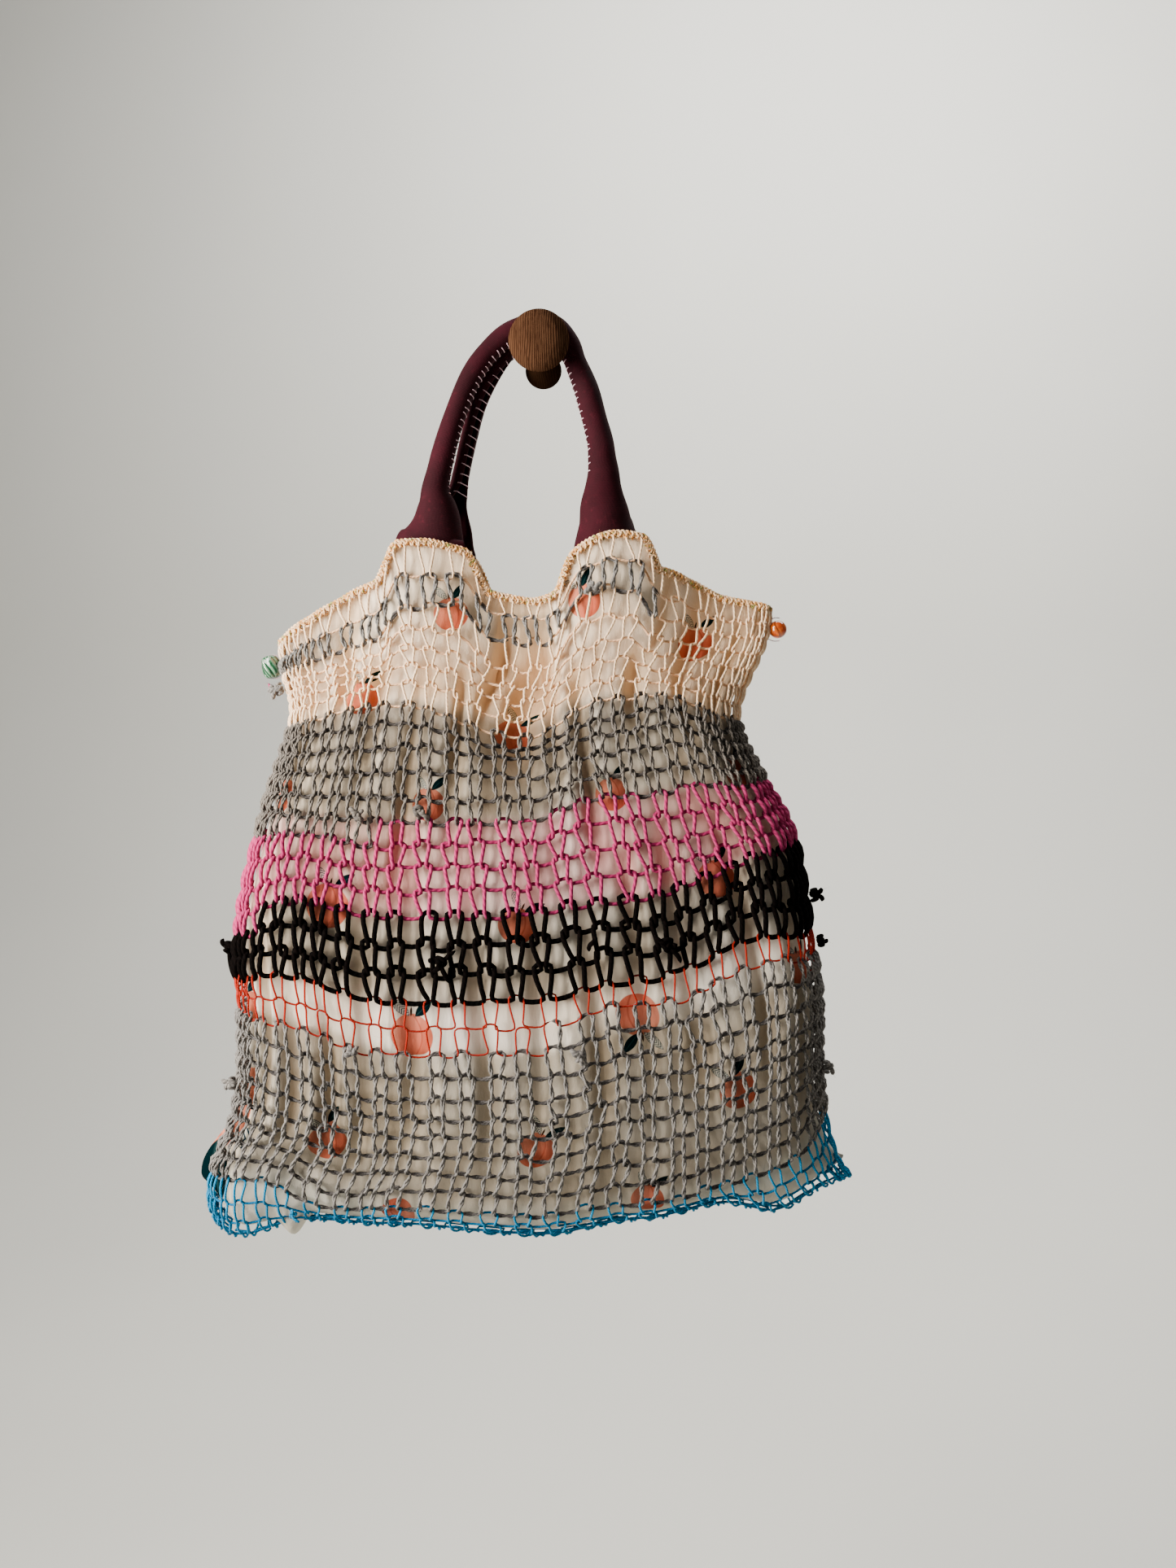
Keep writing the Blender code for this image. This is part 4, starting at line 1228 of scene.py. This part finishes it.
# Soft creases: depth, radians for each step along and for the half width, and for each step of
# the slower wave that breaks them
CREASE_DEPTH = 0.35
CREASE_ALONG = 0.23
CREASE_ACROSS = 3.0
CREASE_BREAKS = 0.11
FRONT_HANDLE = (
    (-83, -42, -182, 25, 27.0, 90, 1.0),
    (-84, -42.5, -156, 35, 27.5, 90, 1.0),
    (-85.5, -41.5, -147, 60, 28.0, 90, 1.0),
    (-83, -40, -137, 115, 27.0, 90, 1.0),
    (-81.5, -39, -126, 165, 26.0, 85, 1.0),
    (-81, -39.5, -115, 215, 25.5, 75, 1.0),
    (-81, -39.5, -104, 290, 25.0, 45, 1.0),
    (-78, -38.5, -90, 340, 25.0, 20, 1.0),
    (-74, -38, -75, 350, 24.5, 8, 1.0),
    (-67, -37, -51, 350, 22.5, 0, 1.0),
    (-58, -35, -27, 350, 22.5, 0, 1.0),
    (-48.5, -34, -9, 350, 22.5, 0, 1.0),
    (-38, -33, 4, 350, 22.5, 0, 1.0),
    (-26, -33, 14, 350, 22.5, 0, 1.0),
    (-13, -33, 20, 350, 22.5, 0, 1.0),
    (0, -33, 22.3, 350, 22.5, 0, 1.0),
    (12.5, -33, 18.8, 350, 22.5, 0, 1.0),
    (21.5, -33, 7.5, 350, 22.5, 0, 1.0),
    (26, -34, -5, 350, 22.5, 0, 1.0),
    (30.5, -35, -16, 350, 24.0, 0, 1.0),
    (36, -37, -32, 350, 26.0, 0, 1.0),
    (41.5, -39, -52, 350, 26.0, 0, 1.0),
    (45.5, -40, -68, 335, 26.5, 5, 1.0),
    (47.5, -41, -80, 315, 27.0, 12, 1.0),
    (49, -41.5, -91, 285, 26.0, 30, 1.05),
    (49.7, -42, -104, 235, 24.5, 60, 1.12),
    (49.8, -41.5, -117, 180, 25.0, 80, 1.1),
    (50, -42, -131, 138, 26.0, 90, 1.0),
    (51, -44, -143, 80, 26.0, 90, 1.0),
    (52, -45.3, -154, 35, 26.0, 90, 1.0),
    (52, -44.6, -180, 25, 26.0, 90, 1.0),
)
BACK_HANDLE = (
    (-79, -14.7, -182, 20, 27.0, -90, 1.0),
    (-79, -15.1, -155, 30, 27.0, -90, 1.0),
    (-78, -17.5, -141, 85, 26.0, -90, 1.0),
    (-75, -16, -127, 160, 25.0, -75, 1.0),
    (-71.5, -14.5, -113, 230, 24.0, -55, 0.85),
    (-67, -13.3, -100, 290, 22.5, -40, 0.75),
    (-63.7, -13, -85, 320, 22.5, -40, 0.68),
    (-58, -13, -59, 320, 22.5, -40, 0.68),
    (-50.5, -13, -32, 320, 22.5, -35, 0.72),
    (-40.5, -13, -9, 330, 22.5, -20, 0.85),
    (-29, -13, 8, 345, 22.5, 0, 1.0),
    (-15, -13, 16.8, 350, 22.5, 0, 1.0),
    (0, -13, 19.9, 350, 22.5, 0, 1.0),
    (13, -13, 16.2, 350, 22.5, 0, 1.0),
    (22.5, -13, 5, 350, 22.5, 0, 1.0),
    (29.5, -13, -9, 345, 22.5, -10, 0.85),
    (36, -13, -30, 330, 22.5, -20, 0.72),
    (43, -13, -56, 320, 22.5, -20, 0.70),
    (47, -13, -82, 310, 23.0, -20, 0.75),
    (48.5, -13.5, -102, 250, 22.0, -50, 1.0),
    (49, -14, -118, 190, 24.0, -75, 1.0),
    (50, -18, -131, 125, 25.5, -90, 1.0),
    (50, -17.5, -143, 75, 26.0, -90, 1.0),
    (50, -15.2, -154, 30, 26.0, -90, 1.0),
    (50, -14.7, -180, 20, 26.0, -90, 1.0),
)
# Ladder stitches are sewn where the strip is rolled at least this far: step, reach past each edge
LADDER_ROLL = 280.0
FRONT_LADDER = (5.2, 4.6)
BACK_LADDER = (7.4, 3.0)
THREAD_RADIUS = 0.36
THREAD_SHOWS = 0.6
# A rung's points from its end to the edge of the strip, and how far its first two are pulled back
RUNG_SHARES = np.array([1.0, 0.95, 0.6, 0.25, 0.0])
RUNG_HOOK = (1.3, 0.7)
# The least and the most that a rung reaches further, and that it slants along the strip
RUNG_VARIES = (-0.5, 0.7)
RUNG_SLANT = (-0.9, 1.1)


def handle_section(place, tangent, shares, raise_by=0.0):
    """Points across the strip at shares from -1 to 1 of its half width."""
    x, y, z, roll, half_width, turn, narrow = place
    inward = unit(np.array([tangent[2], 0.0, -tangent[0]]))
    to_wall = np.array([0.0, 1.0, 0.0])
    opening = math.cos(math.radians(turn)) * inward + math.sin(math.radians(turn)) * to_wall
    opening = unit(opening - tangent * np.dot(opening, tangent))
    sideways = np.cross(tangent, opening)
    half_angle = math.radians(roll) / 2
    radius = half_width / half_angle
    middle = radius * (1.0 + math.cos(half_angle)) / 2
    angles = half_angle * np.asarray(shares, float)[:, None]
    reach = radius + raise_by
    spokes = sideways * reach * np.sin(angles) - opening * (reach * np.cos(angles) - middle)
    spokes += (spokes @ inward * (narrow - 1.0))[:, None] * inward
    spokes += (spokes @ to_wall * (1.0 - narrow))[:, None] * to_wall
    return np.array([x, y, z + NECK_HEIGHT]) + spokes


def handle_places(table):
    """The strip's table read at close steps, with the direction and the length along it at each."""
    table = np.array(table, float)
    knots = np.arange(len(table), dtype=float)
    at = np.linspace(0.0, len(table) - 1.0, HANDLE_STEPS * (len(table) - 1) + 1)
    places = np.stack([smooth_curve(knots, table[:, k], at) for k in range(table.shape[1])], axis=1)
    places[:, 3] = np.clip(places[:, 3], LEAST_ROLL, FULL_ROLL)
    middles = places[:, :3]
    return places, unit(np.gradient(middles, axis=0)), run_length(middles)[:-1]


def handle_material():
    """Dense burgundy cloth: a fine rib with painted shade in its hollows, soft creases and slightly worn
    ridges.
    """
    made = Shader("burgundy_cloth", 0.85, Specular_IOR_Level=0.15)
    along, across = made.uv("strip")
    knit = made.product(made.wave(across, 0.8), made.wave(along, 1.1))
    drift = made.noise(made.place(), 30.0, 4.0, 0.6)
    wear = made.noise(made.place(), 210.0, 3.0, 0.6)
    colour = made.paint(
        srgb(44, 7, 19),
        (drift, (0.3, 0.7), (58, 12, 26)),
        (wear, (0.55, 0.8, 0.0, 0.25), (100, 30, 46)),
        # Painted shade in the hollows of the rib
        (knit, (0.0, 0.5, 0.3, 0.0), (32, 4, 12)),
    )
    return made.finish(colour, made.math("MULTIPLY_ADD", drift, 6.0, knit), 0.00012)


def make_handle(name, node, table, material):
    places, tangents, length = handle_places(table)
    shares = np.linspace(-1.0, 1.0, HANDLE_ACROSS + 1)
    phase = np.random.default_rng(len(table)).uniform(0.0, math.tau, 2)
    sections = []
    for k, (place, tangent) in enumerate(zip(places, tangents)):
        points = handle_section(place, tangent, shares)
        crease = np.sin(CREASE_ALONG * k + phase[0] + CREASE_ACROSS * shares)
        crease = crease * np.sin(CREASE_BREAKS * k + phase[1])
        sections.append(points + unit(points - points.mean(axis=0)) * (CREASE_DEPTH * crease)[:, None])
    flat = (length[:, None], STRIP_HALF * shares[None, :])
    handle = grid_piece(np.array(sections), flat, name, material, "handle_cloth", "strip")
    thickness = handle.modifiers.new("Thickness", "SOLIDIFY")
    thickness.thickness = HANDLE_THICKNESS * MM
    thickness.offset = 0.0
    thickness.use_even_offset = True
    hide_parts(node)
    return handle


def thread_material():
    made = Shader("pale_pink_thread", 0.7, Sheen_Weight=0.2)
    ply = made.ply(1.2)
    # Painted shade: the pale pink thread is darker in the grooves between its plies
    colour = made.paint(srgb(170, 122, 138), (ply, (0.0, 0.7), (232, 198, 208)))
    return made.finish(colour, ply, 0.00008)


def make_ladder(name, table, ladder, material):
    """Rungs of thread from one rolled edge of the strip to the other, each with a hooked end."""
    places, tangents, length = handle_places(table)
    step, reach = ladder
    generator = np.random.default_rng(len(table))
    builder = MeshBuilder()
    raised = HANDLE_THICKNESS / 2 + THREAD_RADIUS * THREAD_SHOWS
    for at in np.arange(step, length[-1] - step, step):
        place = read_along(at, length, places)
        if place[3] < LADDER_ROLL:
            continue
        tangent = unit(read_along(at, length, tangents))
        pull = (reach + generator.uniform(*RUNG_VARIES)) / place[4]
        shares = 1.0 - pull * RUNG_SHARES
        first = handle_section(place, tangent, shares, raised)
        second = handle_section(place, tangent, -shares[::-1], raised)
        line = np.concatenate([first, second])
        line[0] = handle_section(place, tangent, shares[:1])[0] - RUNG_HOOK[0] * tangent
        line[1] = line[1] - RUNG_HOOK[1] * tangent
        line[-1] = handle_section(place, tangent, -shares[:1])[0]
        slant = np.linspace(-1.0, 1.0, len(line))[:, None] * generator.uniform(*RUNG_SLANT)
        line = line + slant * tangent
        builder.add_tube(line, unit(line - line.mean(axis=0)), THREAD_RADIUS)
    return builder.build(name, material, "handle_cloth", "yarn", "tone")


# Peg: the solid's outline, finer, on the same slanting line
PEG_PROFILE = (
    (66.0, 0.0),
    (65.6, 8.0),
    (64.0, 14.5),
    (61.0, 19.5),
    (56.5, 22.5),
    (52.0, 22.0),
    (48.0, 18.5),
    (45.5, 13.5),
    (40.0, 12.0),
    (20.0, 12.0),
    (8.0, 13.0),
    (0.0, 14.3),
)
PEG_SIDES = 96
PEG_STEPS = 6
PEG_POLE = 0.02


def walnut_material():
    """Oiled walnut with fine upright grain across the knob's face, and painted shade on the stem near
    the wall.
    """
    made = Shader("oiled_walnut", 0.6, Specular_IOR_Level=0.0)
    bend = made.noise(made.place(1.0, 0.3, 0.4), 30.0, 2.0)
    own = made.node("SeparateXYZ", {"Vector": made.place()})
    line = made.math("MULTIPLY_ADD", bend, 0.012, own.outputs[0])
    rings = made.wave(line, 0.0017)
    broad = made.noise(made.place(1.0, 0.12, 0.12), 150.0, 5.0, 0.6)
    pore = made.noise(made.place(1.0, 0.06, 0.06), 1500.0, 2.0, 0.6)
    colour = made.paint(
        made.mix(broad, srgb(62, 42, 30), srgb(94, 67, 50)),
        (rings, (0.35, 0.9, 0.0, 0.75), (40, 27, 20)),
        (pore, (0.54, 0.66, 0.0, 0.7), (34, 18, 12)),
        # Painted shade: the stem darkens near the wall
        (own.outputs[1], (-0.046, -0.036, 0.0, 0.9), (36, 25, 18)),
    )
    height = made.math("MULTIPLY_ADD", pore, -1.0, rings)
    return made.finish(colour, height, 0.00012, made.ramp(pore, 0.5, 0.7, 0.45, 0.65))


def make_peg(material):
    profile = np.array(PEG_PROFILE)
    knots = np.arange(len(profile), dtype=float)
    at = np.linspace(0.0, len(profile) - 1.0, PEG_STEPS * (len(profile) - 1) + 1)
    reach = np.append(np.interp(at, knots, profile[:, 0]), 0.0)[:, None]
    radius = np.append(smooth_curve(knots, profile[:, 1], at), PEG_POLE)[:, None]
    radius[0] = PEG_POLE
    angle = np.linspace(0.0, math.tau, PEG_SIDES + 1)[None, :]
    x, y, z = radius * np.sin(angle), -reach, radius * np.cos(angle) + PEG_SLANT * reach
    points = np.stack(np.broadcast_arrays(x, y, z), axis=-1)
    peg = grid_piece(points, (reach, angle), "walnut_peg", material, "walnut", "turning")
    weld(peg)
    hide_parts("peg")


# Beads: the solids' barrel and ball, finer, each sewn on with a thread
GREEN_RADIUS = 7.4
GREEN_LENGTH = 1.25
GREEN_LEAN_DEGREES = -14.0
GREEN_FLUTES = 6
GREEN_FLUTE_DEPTH = 0.07
GREEN_FLUTE_TWIST = 3.0
GREEN_FILL = 0.75
AMBER_RADIUS = 6.9
BEAD_SIDES = 72
BEAD_RINGS = 36
BEAD_POLE = 0.05
# Each bead's end of the mouth and its row
BEAD_ENDS = (
    ("bead_green", -1.0, 34.2),
    ("bead_amber", 1.0, 34.4),
)
# A bead's threads start this far out and up from its middle, end this many rows up or down, and bow
BEAD_THREAD_START = (1.5, 8.6)
BEAD_THREAD_ROWS = 0.7
BEAD_THREAD_BOW = 1.6


def bead_middle(node):
    """The middle of a bead's solid, in millimetres."""
    solid = bpy.data.objects[node]
    corners = np.array([solid.matrix_world @ vertex.co for vertex in solid.data.vertices])
    return (corners.min(axis=0) + corners.max(axis=0)) / 2 / MM


def make_bead(name, node, material, slot, barrel):
    lift = np.cos(np.linspace(BEAD_POLE, math.pi - BEAD_POLE, BEAD_RINGS + 1))[:, None]
    angle = np.linspace(0.0, math.tau, BEAD_SIDES + 1)[None, :]
    radius = np.sqrt(1.0 - lift**2) * AMBER_RADIUS
    length, lean = AMBER_RADIUS, 0.0
    if barrel:
        filled = 1.0 / np.maximum(GREEN_FILL, np.maximum(1.0 - lift**2, 0.0) ** 0.25)
        flute = 1.0 + GREEN_FLUTE_DEPTH * np.cos(GREEN_FLUTES * angle + GREEN_FLUTE_TWIST * lift)
        radius = np.sqrt(1.0 - lift**2) * GREEN_RADIUS * filled * flute
        length, lean = GREEN_RADIUS * GREEN_LENGTH, math.radians(GREEN_LEAN_DEGREES)
    x, y, z = np.broadcast_arrays(radius * np.cos(angle), radius * np.sin(angle), length * lift)
    turned = (x * math.cos(lean) + z * math.sin(lean), y, z * math.cos(lean) - x * math.sin(lean))
    points = np.stack(turned, axis=-1) + bead_middle(node)
    bead = grid_piece(points, (angle, lift), name, material, slot, "glass", flip=True)
    weld(bead)
    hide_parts(node)


def make_bead_threads(material):
    """Two threads at each bead, from its ends to the corner of the mouth."""
    builder = MeshBuilder()
    out, up = BEAD_THREAD_START
    t = np.linspace(0.0, 1.0, 12)[:, None]
    for node, end, row in BEAD_ENDS:
        for rise in (1.0, -1.0):
            start = bead_middle(node) + (end * out, 0.0, rise * up)
            finish = cloth(np.array(end), np.array(row + BEAD_THREAD_ROWS * rise), 1)
            line = start * (1 - t) + finish * t
            line[:, 2] += rise * BEAD_THREAD_BOW * np.sin(math.pi * t[:, 0])
            outward = np.broadcast_to((0.0, -1.0, 0.0), line.shape)
            builder.add_tube(line, outward, THREAD_RADIUS)
    builder.build("bead_threads", material, "knit_yarn", "yarn", "tone")


def green_glass():
    """Bottle-green glass with paler slanting stripes."""
    made = Shader("green_glass", 0.1, Transmission_Weight=0.35, IOR=1.5, Coat_Weight=0.5)
    angle, lift = made.uv("glass")
    stripe = made.wave(made.math("MULTIPLY_ADD", lift, 0.5, angle), math.tau / 12)
    cloud = made.noise(made.place(), 420.0, 2.0)
    colour = made.paint(
        srgb(34, 84, 56),
        (stripe, (0.2, 0.8), (136, 176, 142)),
        (cloud, (0.45, 0.7, 0.0, 0.6), (18, 46, 34)),
    )
    return made.finish(colour, stripe, 0.0003)


def amber_glass():
    """Amber glass with a red rim and a slanting thread hole drawn as painted shade."""
    made = Shader("amber_glass", 0.08, Transmission_Weight=0.45, IOR=1.52, Coat_Weight=0.5)
    angle, lift = made.uv("glass")
    cloud = made.noise(made.place(), 260.0, 2.0)
    hole_shade = made.math("ABSOLUTE", made.math("MULTIPLY_ADD", lift, 0.6, made.minus(angle, 4.5)))
    colour = made.paint(
        srgb(222, 112, 36),
        (cloud, (0.35, 0.65), (190, 72, 22)),
        (made.math("ABSOLUTE", lift), (0.6, 0.95, 0.0, 0.8), (124, 34, 22)),
        # Painted shade standing for the thread hole
        (hole_shade, (0.05, 0.22, 0.8, 0.0), (96, 30, 18)),
    )
    return made.finish(colour, cloud, 0.0001)


# Stage, lights and camera
CAMERA_PLACE_M = (0.063, -0.9819, -0.2707)
CAMERA_DOWN_DEGREES = 3.2991
CAMERA_LEFT_DEGREES = 1.6229
# The focal length as a share of the picture's longer side
FOCAL_SHARE = 1500.0 / 1927.0
SENSOR = 36.0
FLOOR_M = -1.55
STAGE_FRONT_M = -5.0
STAGE_BACK_M = 3.4
STAGE_TOP_M = 4.5
STAGE_SIDE_M = 6.0
STAGE_CURVE_M = 1.6
STAGE_CURVE_STEPS = 24
BAG_MIDDLE_M = (0.0, 0.0, -0.4)
# Area lights: name, place, aim, size, power, colour
LIGHTS = (
    ("window", (-0.78, -0.50, -0.1), BAG_MIDDLE_M, (0.4, 0.9), 42.0, (1.0, 0.95, 0.87)),
    ("fill", (1.6, -2.2, 0.2), BAG_MIDDLE_M, (2.0, 2.0), 1.2, (1.0, 0.95, 0.88)),
    ("backdrop", (0.9, 1.2, 2.4), (0.9, 3.4, -0.3), (2.6, 1.6), 200.0, (1.0, 1.0, 0.99)),
)
ROOM_COLOUR = (0.82, 0.80, 0.76, 1.0)
ROOM_STRENGTH = 0.17


def make_stage():
    made = Shader("pale_paper", 0.95)
    tone = made.noise(made.place(), 1.5, 2.0)
    material = made.finish(made.mix(tone, srgb(222, 220, 212), srgb(230, 228, 220)))
    profile = [(STAGE_FRONT_M, FLOOR_M)]
    for angle in np.linspace(0.0, math.pi / 2, STAGE_CURVE_STEPS + 1):
        out = STAGE_BACK_M - STAGE_CURVE_M * (1 - math.sin(angle))
        profile.append((out, FLOOR_M + STAGE_CURVE_M * (1 - math.cos(angle))))
    profile.append((STAGE_BACK_M, STAGE_TOP_M))
    points = [(x, y, z) for y, z in profile for x in (-STAGE_SIDE_M, STAGE_SIDE_M)]
    faces = [(2 * k, 2 * k + 1, 2 * k + 3, 2 * k + 2) for k in range(len(profile) - 1)]
    mesh = bpy.data.meshes.new("stage")
    mesh.from_pydata(points, [], faces)
    mesh.shade_smooth()
    mesh.materials.append(material)
    stage = new_object("stage", mesh)


def add_light(name, place, aim, size, power, colour):
    data = bpy.data.lights.new(name, "AREA")
    data.shape = "RECTANGLE"
    data.size, data.size_y = size
    data.energy = power
    data.color = colour
    light = new_object(name, data)
    light.location = place
    toward = np.array(aim, float) - np.array(place, float)
    flat = math.hypot(toward[0], toward[1])
    light.rotation_euler = (math.atan2(flat, -toward[2]), 0.0, math.atan2(-toward[0], toward[1]))


def make_lights():
    for light in LIGHTS:
        add_light(*light)
    world = bpy.data.worlds.new("soft_room")
    world.use_nodes = True
    background = world.node_tree.nodes["Background"]
    background.inputs["Color"].default_value = ROOM_COLOUR
    background.inputs["Strength"].default_value = ROOM_STRENGTH
    bpy.context.scene.world = world


def make_camera():
    data = bpy.data.cameras.new("camera")
    data.sensor_width = SENSOR
    data.lens = SENSOR * FOCAL_SHARE
    data.clip_start = 0.01
    camera = new_object("camera", data)
    camera.location = CAMERA_PLACE_M
    tilt = math.radians(90.0 - CAMERA_DOWN_DEGREES)
    camera.rotation_euler = (tilt, 0.0, math.radians(CAMERA_LEFT_DEGREES))
    bpy.context.scene.camera = camera


def make_bag():
    net = make_net(Knitting())
    cotton = lining_material()
    front = make_lining("cotton_front", "lining_front", 1, FRONT_FRUITS, cotton)
    back = make_lining("cotton_back", "lining_back", -1, back_fruits(), cotton)
    edging = make_edging(edging_material())
    burgundy = handle_material()
    thread = thread_material()
    for name, node, table, stitches in (
        ("strip_front", "handle_front", FRONT_HANDLE, FRONT_LADDER),
        ("strip_back", "handle_back", BACK_HANDLE, BACK_LADDER),
    ):
        strip = make_handle(name, node, table, burgundy)
        ladder = make_ladder(name + "_ladder", table, stitches, thread)
    make_peg(walnut_material())
    make_bead("green_barrel", "bead_green", green_glass(), "green_glass", True)
    make_bead("amber_ball", "bead_amber", amber_glass(), "amber_glass", False)
    make_bead_threads(thread)


make_camera()
make_stage()
make_lights()
make_bag()
